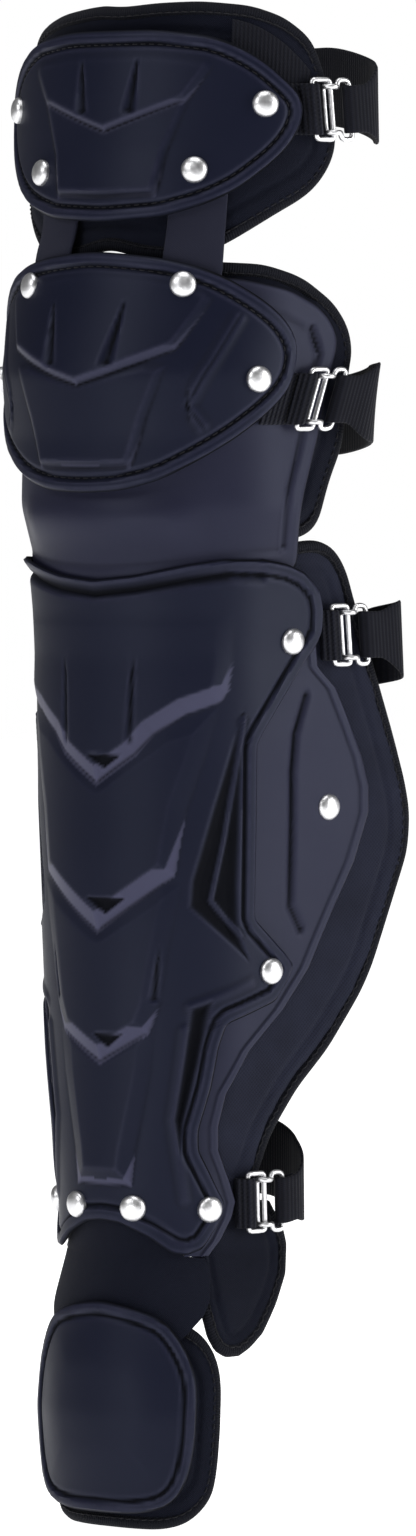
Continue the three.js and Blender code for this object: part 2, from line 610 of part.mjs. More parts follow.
// Bent wire: its section runs along straight stretches, and its ends meet in the middle of a bar
class WirePath extends THREE.Curve {
  constructor(points) {
    super();
    this.points = points;
  }

  getPoint(t, target = new THREE.Vector3()) {
    const place = t * (this.points.length - 1);
    const index = Math.min(Math.floor(place), this.points.length - 2);
    return target.lerpVectors(this.points[index], this.points[index + 1], place - index);
  }

  getPointAt(u, target) {
    return this.getPoint(u, target);
  }

  getTangentAt(u, target = new THREE.Vector3()) {
    const index = Math.round(u * (this.points.length - 1));
    const before = this.points[Math.max(index - 1, 0)];
    const after = this.points[Math.min(index + 1, this.points.length - 1)];
    return target.subVectors(after, before).normalize();
  }
}

function wire(points) {
  const section = new THREE.Shape();
  for (let i = 0; i < WIRE_SIDES; i += 1) {
    const angle = (i / WIRE_SIDES) * 2 * Math.PI;
    const x = WIRE / 2 * Math.cos(angle);
    const y = WIRE / 2 * Math.sin(angle);
    if (i === 0) section.moveTo(x, y);
    else section.lineTo(x, y);
  }
  section.closePath();
  const path = new WirePath(points);
  return closed(new THREE.ExtrudeGeometry(section, { extrudePath: path, steps: points.length - 1 }));
}

function ringGeometry(strap) {
  const corner = WIRE_CORNER;
  const rear = RING_DEPTH;
  const upper = [
    [0, WIRE_GAP / 2],
    [0, RING_HALF - corner],
    [corner, RING_HALF],
    [rear - corner, RING_HALF],
    [rear, RING_HALF - corner],
  ];
  const lower = upper.map(([run, height]) => [run, -height]).reverse();
  return wire([...upper, ...lower].map(([run, height]) => strapPoint(strap, run, height, 0)));
}

function hookGeometry(strap) {
  const crook = [];
  for (let i = 0; i < CROOK_POINTS; i += 1) {
    const angle = CROOK_START - i * CROOK_STEP;
    crook.push([RING_DEPTH + CROOK_RADIUS * Math.cos(angle), CROOK_RADIUS * Math.sin(angle)]);
  }
  const [frontRun, frontOut] = crook[0];
  const corner = WIRE_CORNER;
  const upper = [
    [frontRun, WIRE_GAP / 2, frontOut],
    [frontRun, HOOK_HALF - corner / 2, frontOut],
    ...crook.slice(1).map(([run, out]) => [run, HOOK_HALF, out]),
    [HOOK_LENGTH - ELASTIC_EYE - WIRE, HOOK_END_HALF, HOOK_RISE],
    [HOOK_LENGTH - corner, HOOK_END_HALF, HOOK_RISE],
    [HOOK_LENGTH, HOOK_END_HALF - corner, HOOK_RISE],
  ];
  const lower = upper.map(([run, height, out]) => [run, -height, out]).reverse();
  return wire([...upper, ...lower].map(([run, height, out]) => strapPoint(strap, run, height, out)));
}

// A band of even thickness along a centre line of [run, out] stations, laid on its path by `place`
function band(stations, thickness, width, place) {
  const last = stations.length - 1;
  const lefts = [];
  for (let i = 0; i < last; i += 1) {
    const step = new THREE.Vector2(
      stations[i + 1][0] - stations[i][0], stations[i + 1][1] - stations[i][1]).normalize();
    lefts.push(new THREE.Vector2(-step.y, step.x));
  }
  const geometry = new THREE.BoxGeometry(1, 1, 1, last, 1, 1);
  const position = geometry.getAttribute('position');
  for (let i = 0; i < position.count; i += 1) {
    const index = Math.round((position.getX(i) + 0.5) * last);
    const before = lefts[Math.max(index - 1, 0)];
    const after = lefts[Math.min(index, last - 1)];
    const normal = before.clone().add(after).normalize();
    const offset = position.getZ(i) * thickness / normal.dot(before);
    const [run, out] = stations[index];
    const point = place(run + offset * normal.x, out + offset * normal.y, position.getY(i) * width);
    position.setXYZ(i, point.x, point.y, point.z);
  }
  return closed(geometry);
}

// The fold of a band round a bar, as stations round the bar's middle
function fold(radius, angles) {
  return angles.map((degrees) => {
    const angle = THREE.MathUtils.degToRad(degrees);
    return [radius * Math.cos(angle), radius * Math.sin(angle)];
  });
}

// The webbing comes from the plate, runs under the bar, and its end folds back onto itself
function tabGeometry(strap) {
  const radius = TAB_FOLD;
  const length = strap.ring - strap.root;
  const stations = [
    [-length, -radius],
    [-0.6 * length, -radius],
    ...fold(radius, [-90, -45, 0, 45, 90, 120]),
    [-FOLD_END * radius, WEBBING_THICKNESS + SEAT_GAP - radius],
  ];
  return band(stations, WEBBING_THICKNESS, WEBBING_WIDTH,
    (run, out, height) => strapPoint(strap, run, height, out));
}

// The elastic: from the hook round the back of the leg to the far pad
function elasticPath(strap) {
  const start = strap.ring + HOOK_LENGTH;
  const far = strap.under === SECOND_OUT ? PAD_FRONT : strap.under;
  const farOut = far + 2 * SEAT_GAP + ELASTIC_THICKNESS / 2;
  const nearOut = ringLevel(strap) + HOOK_RISE;
  const leaving = legPoint(start + strap.straight, strap.z, nearOut);
  const landing = legPoint(-strap.sewn, strap.z, farOut);
  const turn = (point) => Math.atan2(point.x, -point.y);
  const turnStart = turn(leaving);
  const turnEnd = 2 * Math.PI + turn(landing);
  const radiusStart = Math.hypot(leaving.x, leaving.y);
  const radiusEnd = Math.hypot(landing.x, landing.y);
  const onNear = strap.straight;
  const free = (turnEnd - turnStart) * (radiusStart + 2 * strap.behind + radiusEnd) / 4;
  return {
    length: onNear + free + SEWN_LENGTH,
    place(run, out, height) {
      const smooth = THREE.MathUtils.smoothstep;
      const part = (run - onNear) / free;
      const widen = smooth(run, ELASTIC_EYE, STRAP_SETTLE);
      const endHalf = HOOK_END_HALF - WIRE_CORNER - 2 * WIRE_GAP;
      const half = THREE.MathUtils.lerp(endHalf, ELASTIC_WIDTH / 2, widen);
      const tall = height / (ELASTIC_WIDTH / 2) * half;
      const rise = THREE.MathUtils.lerp(
        strap.riseBack * smooth(part, -0.05, 0.35), strap.riseEnd, smooth(part, 0.6, 0.95));
      const z = strap.z + tall + rise;
      const near = strapPoint(strap, HOOK_LENGTH + run, tall, HOOK_RISE + out);
      near.z += rise;
      const share = THREE.MathUtils.clamp(part, 0, 1);
      const angle = THREE.MathUtils.lerp(turnStart, turnEnd, share);
      const toBack = THREE.MathUtils.lerp(radiusStart, strap.behind, smooth(share, 0, 0.35));
      const radius = THREE.MathUtils.lerp(toBack, radiusEnd, smooth(share, 0.65, 1)) + out;
      const round = new THREE.Vector3(radius * Math.sin(angle), -radius * Math.cos(angle), z);
      const pastLanding = run - onNear - free;
      const end = legPoint(-(strap.sewn - pastLanding), z, farOut + out);
      const nearWeight = 1 - smooth(run, onNear, onNear + STRAP_SETTLE);
      const endWeight = smooth(pastLanding, -STRAP_SETTLE, 0);
      return round.lerp(near, nearWeight).lerp(end, endWeight);
    },
  };
}

function elasticGeometry(strap) {
  const path = elasticPath(strap);
  const radius = ELASTIC_FOLD;
  const stations = [
    [FOLD_END * radius, radius - ELASTIC_THICKNESS - SEAT_GAP],
    ...fold(radius, [-60, -90, -135, -180, -225, -270]),
  ];
  for (let i = 1; i <= ELASTIC_STEPS; i += 1) {
    const run = path.length * i / ELASTIC_STEPS;
    stations.push([run, radius * (1 - THREE.MathUtils.smoothstep(run, STRAP_SETTLE, 3 * STRAP_SETTLE))]);
  }
  return band(stations, ELASTIC_THICKNESS, ELASTIC_WIDTH, path.place);
}

// Materials
const FINISHES = {
  shell: { color: 0x181c2b, roughness: 0.42, metalness: 0 },
  wing: { color: 0x2b2c3d, roughness: 0.45, metalness: 0 },
  pad: { color: 0x12151f, roughness: 0.9, metalness: 0 },
  strap: { color: 0x0f1219, roughness: 0.85, metalness: 0 },
  hinge: { color: 0x2a2b3a, roughness: 0.7, metalness: 0 },
  nickel: { color: 0xd9d9dc, roughness: 0.22, metalness: 1 },
};

const guard = new THREE.Group();
guard.position.z = -LEG_SEAT_HEIGHT;

function add(name, geometry, finish) {
  const mesh = new THREE.Mesh(geometry, new THREE.MeshStandardMaterial(FINISHES[finish]));
  mesh.name = name;
  guard.add(mesh);
  return mesh;
}

// Plates
add('thigh_shell', plate({
  zone: THIGH, reach: THIGH_SHELL_REACH, panel: THIGH_PANEL, table: THIGH_SHELL_ROWS, curved: true,
  ...shellLayer(THIGH_PANEL, 0, PANEL_LIFT),
}), 'shell');
add('knee_shell', plate({
  zone: KNEE, reach: KNEE_CAP_REACH, panel: KNEE_PANEL, table: KNEE_CAP_ROWS, curved: true,
  ...shellLayer(KNEE_PANEL, CAP_OUT, PANEL_LIFT),
}), 'shell');
add('shin_shell', plate({
  zone: SHIN, reach: SHIN_REACH, panel: SHIN_PANEL, table: SHIN_SHELL_ROWS, curved: false, outerColumns: 5,
  ...shellLayer(SHIN_PANEL, 0, PANEL_LIFT),
}), 'shell');
add('toe_shell', plate({
  zone: TOE, reach: TOE_SHELL_REACH, panel: TOE_PANEL, table: TOE_SHELL_ROWS, curved: true,
  ...shellLayer(TOE_PANEL, 0, TOE_LIFT),
}), 'shell');
add('brace_shell', plate({
  zone: KNEE, reach: BRACE_REACH, panel: BRACE_PANEL, table: BRACE_ROWS, curved: true,
  outside: (place) => SECOND_OUT + place.row.lift * BRACE_SWELL,
  inside: (place) => SECOND_OUT + place.row.lift * BRACE_SWELL - WING_WALL,
}), 'wing');

// Pads
add('thigh_pad', plate({
  zone: THIGH, reach: THIGH_PAD_REACH, panel: THIGH_PANEL, table: THIGH_PAD_ROWS, curved: true, ...padLayer,
}), 'pad');
add('knee_pad', plate({
  zone: KNEE, reach: KNEE_PAD_REACH, panel: BRACE_PANEL, table: KNEE_PAD_ROWS, curved: true, ...padLayer,
}), 'pad');
add('shin_pad', plate({
  zone: SHIN, reach: SHIN_PAD_REACH, panel: SHIN_PANEL, table: SHIN_PAD_ROWS, curved: false, ...padLayer,
}), 'pad');
add('toe_pad', plate({
  zone: TOE, reach: TOE_PAD_REACH, panel: TOE_PANEL, table: TOE_PAD_ROWS, curved: true, ...padLayer,
}), 'pad');

// The instep flap crosses the front ridge, so its strip runs from one side to the other
add('instep_flap', strip({
  side: 1,
  columns: 8,
  rows: FLAP_ROWS.map(({ zone, at, half }) => ({
    z: level(zone, at), inner: -half * FLAP_REACH, outer: half * FLAP_REACH,
  })),
  outside: () => SECOND_OUT,
  inside: () => SECOND_OUT - FLAP_THICKNESS,
}), 'pad');

for (const side of [-1, 1]) {
  const where = side < 0 ? 'left' : 'right';
  add(`wing_${where}`, strip({
    side,
    columns: 6,
    rows: WING_ROWS.map(({ at, inner, outer, fin }) => ({
      z: level(SHIN, at), inner: inner * SHIN_REACH, outer: outer * SHIN_REACH + fin * WING_FIN,
    })),
    outside: () => SECOND_OUT,
    inside: () => SECOND_OUT - WING_WALL,
  }), 'wing');
  const ankleTop = level(SHIN, SHIN_PAD_FOOT) - 2 * SEAT_GAP;
  add(`ankle_pad_${where}`, strip({
    side,
    columns: 4,
    rows: ANKLE_PAD_ROWS.map(({ at, inner, outer }) => ({
      z: ankleTop - (1 - at) * ANKLE_PAD_LENGTH,
      inner: inner * ANKLE_PAD_REACH,
      outer: outer * ANKLE_PAD_REACH,
    })),
    outside: () => PAD_FRONT,
    inside: (row, onRim) => PAD_FRONT - (onRim ? PAD_RIM : ANKLE_PAD_THICKNESS),
  }), 'pad');
}

// Hinge straps, rivets and the four leg straps
for (const hinge of HINGES) add(hinge.name, hingeStrap(hinge), 'hinge');
for (const rivet of RIVETS) {
  const mesh = add(rivet.name, rivetGeometry(), 'nickel');
  placeOnForm(mesh, rivet.along, rivet.z, rivet.seat + RIVET_GAP);
}
for (const strap of STRAPS) {
  add(`${strap.name}_tab`, tabGeometry(strap), 'strap');
  add(`${strap.name}_ring`, ringGeometry(strap), 'nickel');
  add(`${strap.name}_hook`, hookGeometry(strap), 'nickel');
  add(`${strap.name}_strap`, elasticGeometry(strap), 'strap');
}

export default guard;
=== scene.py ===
# %% [markdown]
# # A catcher's leg guard
# A leg guard is hard moulded plates riveted on soft sewn pads, held on the leg by four elastic
# straps. The packed CAD part gives the size and the place of everything, so it is loaded first as
# a fixed frame. Each step below then makes one kind of piece round it, with the detail that the
# photograph shows, and says which CAD node it stands for.

# %% Load the frame
import math

import bpy
import numpy as np
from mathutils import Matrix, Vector


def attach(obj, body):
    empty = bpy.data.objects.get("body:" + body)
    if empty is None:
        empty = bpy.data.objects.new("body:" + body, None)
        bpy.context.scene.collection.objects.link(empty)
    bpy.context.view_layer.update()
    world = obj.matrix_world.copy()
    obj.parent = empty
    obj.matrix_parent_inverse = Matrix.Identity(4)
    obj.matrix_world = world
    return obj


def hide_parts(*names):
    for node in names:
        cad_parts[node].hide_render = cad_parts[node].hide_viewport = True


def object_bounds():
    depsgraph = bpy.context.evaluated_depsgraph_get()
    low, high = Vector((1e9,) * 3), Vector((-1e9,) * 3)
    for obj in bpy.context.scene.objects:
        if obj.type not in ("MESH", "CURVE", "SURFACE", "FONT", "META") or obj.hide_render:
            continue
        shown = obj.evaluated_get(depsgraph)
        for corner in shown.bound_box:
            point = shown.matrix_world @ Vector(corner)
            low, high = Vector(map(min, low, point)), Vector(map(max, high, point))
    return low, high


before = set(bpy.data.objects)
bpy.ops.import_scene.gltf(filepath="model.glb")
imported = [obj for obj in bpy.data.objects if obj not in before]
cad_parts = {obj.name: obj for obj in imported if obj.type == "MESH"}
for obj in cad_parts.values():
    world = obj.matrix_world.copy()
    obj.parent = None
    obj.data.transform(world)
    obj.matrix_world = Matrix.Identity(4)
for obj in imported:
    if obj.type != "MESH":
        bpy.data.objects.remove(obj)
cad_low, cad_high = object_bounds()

print("CAD box, mm:", [round(1000 * (b - a)) for a, b in zip(cad_low, cad_high)])

# %% [markdown]
# ## The camera
# The photograph looks at the guard from its outer side, 34 degrees off its front, from far away
# with a long lens. Its scale is 0.457 mm a pixel at the leg's axis, which gives the distance and
# the lens. The camera is set before anything else, so that every test picture can be laid beside
# the photograph.

# %% Camera
PHOTO_HEIGHT = 1536
MM_PER_PIXEL = 0.457
LEG_MIDDLE = 345.0  # height of the frame's origin above the foot of the photograph's picture
CAMERA_TURN = math.radians(34)
CAMERA_DISTANCE = 3250.0
CAMERA_HEIGHT = 518.0
AIM_RIGHT, AIM_UP = 30, 765  # pixels beside the leg's axis and above the picture's foot

right = Vector((math.cos(CAMERA_TURN), math.sin(CAMERA_TURN), 0))
toward = Vector((math.sin(CAMERA_TURN), -math.cos(CAMERA_TURN), 0))
beside = right * (AIM_RIGHT * MM_PER_PIXEL)
aim = beside + Vector((0, 0, AIM_UP * MM_PER_PIXEL - LEG_MIDDLE))
eye = beside + toward * CAMERA_DISTANCE + Vector((0, 0, CAMERA_HEIGHT - LEG_MIDDLE))
camera_data = bpy.data.cameras.new("photo_camera")
camera_data.sensor_fit = "VERTICAL"
camera_data.sensor_height = 36
camera_data.lens = 36 * (aim - eye).length / MM_PER_PIXEL / PHOTO_HEIGHT
camera_data.clip_end = 50
camera = bpy.data.objects.new("photo_camera", camera_data)
camera.location = eye / 1000
camera.rotation_euler = (aim - eye).to_track_quat("-Z", "Y").to_euler()
bpy.context.scene.collection.objects.link(camera)
bpy.context.scene.camera = camera
print("lens, mm:", round(camera_data.lens, 1))

# %% [markdown]
# ## Floor and light
# The guard stands on its toe on a pale floor. A large soft lamp on the camera's right catches the
# side of the leg, where the photograph is lightest, a second one from the upper left gives the
# front its edges, and a pale world fills the rest.

# %% Floor, lamps and world
FLOOR_GAP = 0.0005
ROOM_LIGHT = 0.15  # the camera sees a white room, but the room lights the guard only this much

bpy.ops.object.select_all(action="DESELECT")
bpy.ops.mesh.primitive_plane_add(size=12, location=(0, 0, cad_low.z - FLOOR_GAP))
floor = bpy.context.object
floor.name = "studio_floor"


def soft_lamp(name, place, size, watts):
    data = bpy.data.lights.new(name, "AREA")
    data.shape = "RECTANGLE"
    data.size, data.size_y = size
    data.energy = watts
    lamp = bpy.data.objects.new(name, data)
    lamp.location = place
    lamp.rotation_euler = (-Vector(place)).to_track_quat("-Z", "Y").to_euler()
    bpy.context.scene.collection.objects.link(lamp)
    return lamp


soft_lamp("side_lamp", right * 1.9 + toward * 0.6 + Vector((0, 0, 0.4)), (0.7, 1.6), 26)
soft_lamp("key_lamp", toward * 1.5 - right * 1.5 + Vector((0, 0, 1.3)), (0.8, 0.8), 15)
soft_lamp("low_lamp", toward * 1.5 - right * 0.9 + Vector((0, 0, -0.25)), (1.0, 0.18), 4)
soft_lamp("top_lamp", toward * 0.4 + Vector((0, 0, 2.0)), (1.2, 1.2), 16)
world = bpy.data.worlds.new("pale_room")
world.use_nodes = True
room = world.node_tree.nodes["Background"]
room.inputs["Color"].default_value = (1, 1, 1, 1)
light_path = world.node_tree.nodes.new("ShaderNodeLightPath")
brightness = world.node_tree.nodes.new("ShaderNodeMath")
brightness.operation = "MULTIPLY_ADD"
brightness.inputs[1].default_value = 1 - ROOM_LIGHT
brightness.inputs[2].default_value = ROOM_LIGHT
world.node_tree.links.new(light_path.outputs["Is Camera Ray"], brightness.inputs[0])
world.node_tree.links.new(brightness.outputs[0], room.inputs["Strength"])
bpy.context.scene.world = world
bpy.context.scene.view_settings.view_transform = "Standard"

# %% [markdown]
# ## The leg form
# Every plate and pad follows one leg shape. A place on it is told by three numbers: `along`, the
# distance round the leg from the front ridge towards the outer side, `height`, and `out`, the
# distance from the form. Drawing flat and wrapping afterwards is how a pattern cutter works, and
# it keeps every outline simple.

# %% The leg form as functions
FORM = np.array([
    # height, forward, radius
    (8, 66, 58.2), (60, 68, 61.2), (104.9, 64, 58.2), (132, 61, 46), (150.8, 61, 46),
    (219.9, 61.4, 58.2), (285.9, 64, 60.8), (333, 64, 64), (402, 65, 64), (436.6, 67.8, 67.2),
    (469.5, 73.9, 77.8),
    (499.8, 73.9, 76.2), (530.2, 77, 77), (567.4, 67, 80.9), (597.6, 62.1, 92.2), (629.7, 58.1, 96),
    (671.5, 55, 98), (695, 53, 98),
])
ARC_END = math.radians(72)
FORM_HEIGHTS = np.arange(-20.0, 730.0)
soften = np.hanning(15) / np.hanning(15).sum()
FORM_FORWARD = np.convolve(np.interp(FORM_HEIGHTS, FORM[:, 0], FORM[:, 1]), soften, "same")
FORM_RADIUS = np.convolve(np.interp(FORM_HEIGHTS, FORM[:, 0], FORM[:, 2]), soften, "same")


def form_at(height):
    forward = np.interp(height, FORM_HEIGHTS, FORM_FORWARD)
    return forward, np.interp(height, FORM_HEIGHTS, FORM_RADIUS)


def wrap(along, height, out):
    """Points in metres for flat places in millimetres."""
    along, height, out = np.broadcast_arrays(*(np.asarray(a, float) for a in (along, height, out)))
    forward, radius = form_at(height)
    angle = np.minimum(np.abs(along) / radius, ARC_END)
    straight = np.maximum(np.abs(along) - radius * ARC_END, 0)
    x = np.sign(along) * ((radius + out) * np.sin(angle) + straight * np.cos(angle))
    y = radius - forward - (radius + out) * np.cos(angle) + straight * np.sin(angle)
    return np.stack([x, y, height - LEG_MIDDLE], -1) / 1000


def unwrap(points):
    """The opposite of wrap: along, height and out of points in metres."""
    x, y, z = (1000 * points[:, i] for i in range(3))
    height = z + LEG_MIDDLE
    forward, radius = form_at(height)
    across, ahead = np.abs(x), (radius - forward) - y
    angle = np.arctan2(across, ahead)
    straight = across * math.cos(ARC_END) - ahead * math.sin(ARC_END)
    flat_out = across * math.sin(ARC_END) + ahead * math.cos(ARC_END) - radius
    on_arc = angle <= ARC_END
    along = np.where(on_arc, radius * angle, radius * ARC_END + straight)
    out = np.where(on_arc, np.hypot(across, ahead) - radius, flat_out)
    return np.sign(x) * along, height, out


print("round half of the knee, mm:", round(float(form_at(530)[1] * ARC_END)))

# %% [markdown]
# ## A sheet bent to shape
# Most pieces start as a plane grid that is bent onto the leg form, then gets its wall from
# Solidify. The grid could also be sculpted by hand, but bending it by a rule keeps left and right
# the same. The grid keeps its flat size in millimetres as its UV map, so woven patterns follow
# the cloth.

# %% Bend a grid
def select_only(piece):
    bpy.ops.object.select_all(action="DESELECT")
    piece.select_set(True)
    bpy.context.view_layer.objects.active = piece


def bent_grid(name, columns, rows, place, flat=None):
    """A grid of columns by rows faces. place turns u and v, both 0 to 1, into points in metres."""
    bpy.ops.object.select_all(action="DESELECT")
    bpy.ops.mesh.primitive_grid_add(x_subdivisions=columns, y_subdivisions=rows, size=2)
    piece = bpy.context.object
    piece.name = name
    mesh = piece.data
    corners = np.empty(len(mesh.vertices) * 3)
    mesh.vertices.foreach_get("co", corners)
    u, v = (corners.reshape(-1, 3)[:, i] / 2 + 0.5 for i in (0, 1))
    mesh.vertices.foreach_set("co", place(u, v).ravel())
    if flat is not None:
        loops = np.empty(len(mesh.loops), int)
        mesh.loops.foreach_get("vertex_index", loops)
        mesh.uv_layers.active.data.foreach_set("uv", np.stack(flat(u, v), -1)[loops].ravel())
    mesh.update()
    return piece


def apply_modifier(piece, kind, **settings):
    select_only(piece)
    modifier = piece.modifiers.new(kind.title(), kind)
    for key, value in settings.items():
        setattr(modifier, key, value)
    bpy.ops.object.modifier_apply(modifier=modifier.name)
    return piece


def smooth(piece, degrees=40):
    select_only(piece)
    bpy.ops.object.shade_smooth_by_angle(angle=math.radians(degrees))
    return piece


def settle(piece, body, slot, *nodes):
    """Every finished piece rides on the body and stands for its CAD nodes. slot is not used."""
    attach(piece, body)
    if nodes:
        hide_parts(*nodes)
    return piece


print("grid helper ready")

# %% [markdown]
# ## Drawing on the flat pattern
# Ridges, steps and slots are drawn on the flat pattern as lines of points. The distance from a
# line gives a groove or a ridge, and being inside a closed line gives a step. Heights from many
# lines add up to the relief of a plate, like stamping it with one tool after another.

# %% Lines, outlines and steps on the pattern
def line_distance(points, along, height):
    best = np.full(along.shape, 1e9)
    for (a1, h1), (a2, h2) in zip(points[:-1], points[1:]):
        run = np.array([a2 - a1, h2 - h1], float)
        if not run.any():
            continue
        share = np.clip(((along - a1) * run[0] + (height - h1) * run[1]) / (run @ run), 0, 1)
        best = np.minimum(best, np.hypot(along - a1 - share * run[0], height - h1 - share * run[1]))
    return best


def inside(points, along, height):
    odd = np.zeros(along.shape, bool)
    for (a1, h1), (a2, h2) in zip(points, points[1:] + points[:1]):
        if h1 == h2:
            continue
        crosses = (h1 > height) != (h2 > height)
        odd ^= crosses & (along < a1 + (height - h1) * (a2 - a1) / (h2 - h1))
    return odd


def ease(value):
    value = np.clip(value, 0, 1)
    return value * value * (3 - 2 * value)


def raised(points, along, height, bevel):
    """1 well inside a closed line and 0 outside, with a straight bevel inside its edge."""
    depth = line_distance(points + points[:1], along, height)
    return np.where(inside(points, along, height), np.clip(depth / bevel, 0, 1), 0)


def crease(start, end, along, height, wide):
    """A V-shaped crease that opens from nothing at its start to its full width at its end."""
    run = np.array([end[0] - start[0], end[1] - start[1]], float)
    length = np.hypot(*run)
    share = ((along - start[0]) * run[0] + (height - start[1]) * run[1]) / length**2
    side = np.abs((along - start[0]) * run[1] - (height - start[1]) * run[0]) / length
    half = np.clip(share, 0, 1) * wide / 2 + 0.01
    tail = np.clip((1.07 - share) / 0.07, 0, 1)
    return np.clip(1 - side / half, 0, 1) * (share > 0) * tail * np.clip(share * 2, 0, 1)


def mirrored(points):
    """A full outline from its right half, which runs from the bottom of the ridge to its top."""
    return points + [(-a, h) for a, h in reversed(points)]


print("pattern tools ready")

# %% [markdown]
# ## Shader maths in plain words
# A finish is a small tree of nodes. Writing it as sums and products of signals keeps it readable:
# the class below wraps a socket, and each + or * adds the Math node that does it.

# %% Signals
class Signal:
    def __init__(self, finish, socket):
        self.finish = finish
        self.socket = socket

    def maths(self, operation, first, second):
        return self.finish.node("ShaderNodeMath", {"operation": operation}, first, second)

    def __add__(self, other):
        return self.maths("ADD", self, other)

    def __sub__(self, other):
        return self.maths("SUBTRACT", self, other)

    def __rsub__(self, other):
        return self.maths("SUBTRACT", other, self)

    def __mul__(self, other):
        return self.maths("MULTIPLY", self, other)

    def over(self, edge):
        return self.maths("GREATER_THAN", self, edge)

    def wave(self):
        return self.finish.node("ShaderNodeMath", {"operation": "SINE"}, self)

    def size(self):
        return self.finish.node("ShaderNodeMath", {"operation": "ABSOLUTE"}, self)

    __radd__ = __add__
    __rmul__ = __mul__


print("signal operators:", [name for name in vars(Signal) if name[-5:-2] in ("add", "sub", "mul")])

# %% [markdown]
# ## A finish and its nodes
# A finish holds one material. Everything in it is made by one `node` method, from the node's
# type, its settings and the values or signals of its sockets, so that each pattern below takes a
# line or two.

# %% Finish
class Finish:
    def __init__(self, name, roughness, metallic=0.0, specular=0.5, sheen=0.0):
        self.material = bpy.data.materials.new(name)
        self.material.use_nodes = True
        self.tree = self.material.node_tree
        self.shader = self.tree.nodes["Principled BSDF"]
        self.shader.inputs["Roughness"].default_value = roughness
        self.shader.inputs["Metallic"].default_value = metallic
        self.shader.inputs["Specular IOR Level"].default_value = specular
        self.shader.inputs["Sheen Weight"].default_value = sheen
        self.shader.inputs["Sheen Roughness"].default_value = 0.5

    def node(self, kind, settings, *values, out=0, **named):
        made = self.tree.nodes.new(kind)
        for key, value in settings.items():
            if key == "stops":
                ramp = made.color_ramp
                for place, shade in value[2:]:
                    ramp.elements.new(place)
                for element, (place, shade) in zip(ramp.elements, value):
                    element.position = place
                    element.color = (*shade, 1)
            else:
                setattr(made, key, value)
        for socket, value in [*enumerate(values), *named.items()]:
            self.feed(made.inputs[socket], value)
        return Signal(self, made.outputs[out])

    def feed(self, socket, value):
        if isinstance(value, Signal):
            self.tree.links.new(value.socket, socket)
        elif value is not None:
            socket.default_value = value

    def object_place(self):
        return self.node("ShaderNodeTexCoord", {}, out="Object")

    def pattern_place(self):
        """Flat pattern coordinates in millimetres, as two signals."""
        split = self.node("ShaderNodeSeparateXYZ", {}, self.node("ShaderNodeUVMap", {}))
        return split, Signal(self, split.socket.node.outputs[1])

    def noise(self, place, scale, detail=2.0, rough=0.5):
        return self.node("ShaderNodeTexNoise", {}, Vector=place, Scale=scale, Detail=detail,
                         Roughness=rough)

    def blend(self, share, first, second):
        made = self.tree.nodes.new("ShaderNodeMix")
        made.data_type = "RGBA"
        self.feed(made.inputs["Factor"], share)
        self.feed(made.inputs[6], first if isinstance(first, Signal) else (*first, 1))
        self.feed(made.inputs[7], second if isinstance(second, Signal) else (*second, 1))
        return Signal(self, made.outputs[2])

    def colour(self, value):
        shade = value if isinstance(value, Signal) else (*value, 1)
        self.feed(self.shader.inputs["Base Color"], shade)

    def roughness(self, value):
        self.feed(self.shader.inputs["Roughness"], value)

    def bump(self, height, depth, strength=1.0):
        """depth is in metres: how far a height of 1 stands out."""
        made = self.node("ShaderNodeBump", {}, Height=height, Distance=depth, Strength=strength)
        self.feed(self.shader.inputs["Normal"], made)


print("shader maths ready")

# %% [markdown]
# ## Moulded plastic
# The plates are dark navy plastic with a satin skin. Seen close it has a very fine grain, a slow
# variation in gloss where hands have rubbed it, and edges that wear a shade lighter, which also
# serves as a painted highlight. The flat bevels at the feet of the shields are painted in the same
# lighter shade as a highlight, and grooves and recesses get a painted shade of near black. The
# grain is a small bump, the rest feeds colour and roughness. The wings are the same plastic,
# painted a lighter slate as if lit from the side.

# %% Plate and wing finishes
def moulded(name, deep, pale, worn_and_highlight):
    finish = Finish(name, 0.4, specular=0.16)
    finish.shader.inputs["Specular Tint"].default_value = (0.72, 0.78, 1.0, 1)
    place = finish.object_place()
    cloud = finish.noise(place, 22.0, 3.0)
    grain = finish.noise(place, 2600.0, 1.0)
    base = finish.blend(cloud, deep, pale)
    # crest: raised edges go lighter, partly rubbed wear and partly a painted highlight
    edge = finish.node("ShaderNodeAttribute", {"attribute_name": "crest"}, out="Fac")
    rub = finish.noise(place, 160.0, 4.0, 0.7)
    # grooves and recesses are mixed to near black below, a painted shade
    shadow = finish.node("ShaderNodeAttribute", {"attribute_name": "hollow"}, out="Fac")
    # facet: the bevels at the shields' feet go lighter, a painted highlight
    facet = finish.node("ShaderNodeAttribute", {"attribute_name": "facet"}, out="Fac")
    worn_and_highlit = finish.blend(facet * 0.9 + edge * rub * 0.4, base, worn_and_highlight)
    finish.colour(finish.blend(shadow, worn_and_highlit, (0.0006, 0.0006, 0.0012)))
    finish.roughness(cloud * 0.16 + rub * 0.06 + shadow * 0.45 + 0.34)
    finish.bump(grain, 0.00004)
    return finish.material


PLATE = moulded("navy_plate", (0.0036, 0.0046, 0.0125), (0.0054, 0.0064, 0.0165),
                (0.044, 0.044, 0.078))
# painted light: the navy plate's plastic made lighter, as if lit from the side
WING_PAINTED_LIGHTER = moulded("wing_painted_lighter", (0.0115, 0.012, 0.025), (0.0155, 0.016, 0.032),
               (0.045, 0.046, 0.075))
print("finishes:", PLATE.name, WING_PAINTED_LIGHTER.name)

# %% [markdown]
# ## Cloth, tape and webbing
# The pads are covered with a tight black-navy weave, with an open mesh beside the calf, and their
# edges are bound with ribbed tape. Straps are woven webbing with ribs across, and elastic with
# finer ribs. All of these are patterns of waves on the flat pattern, so the threads run along the
# cloth.

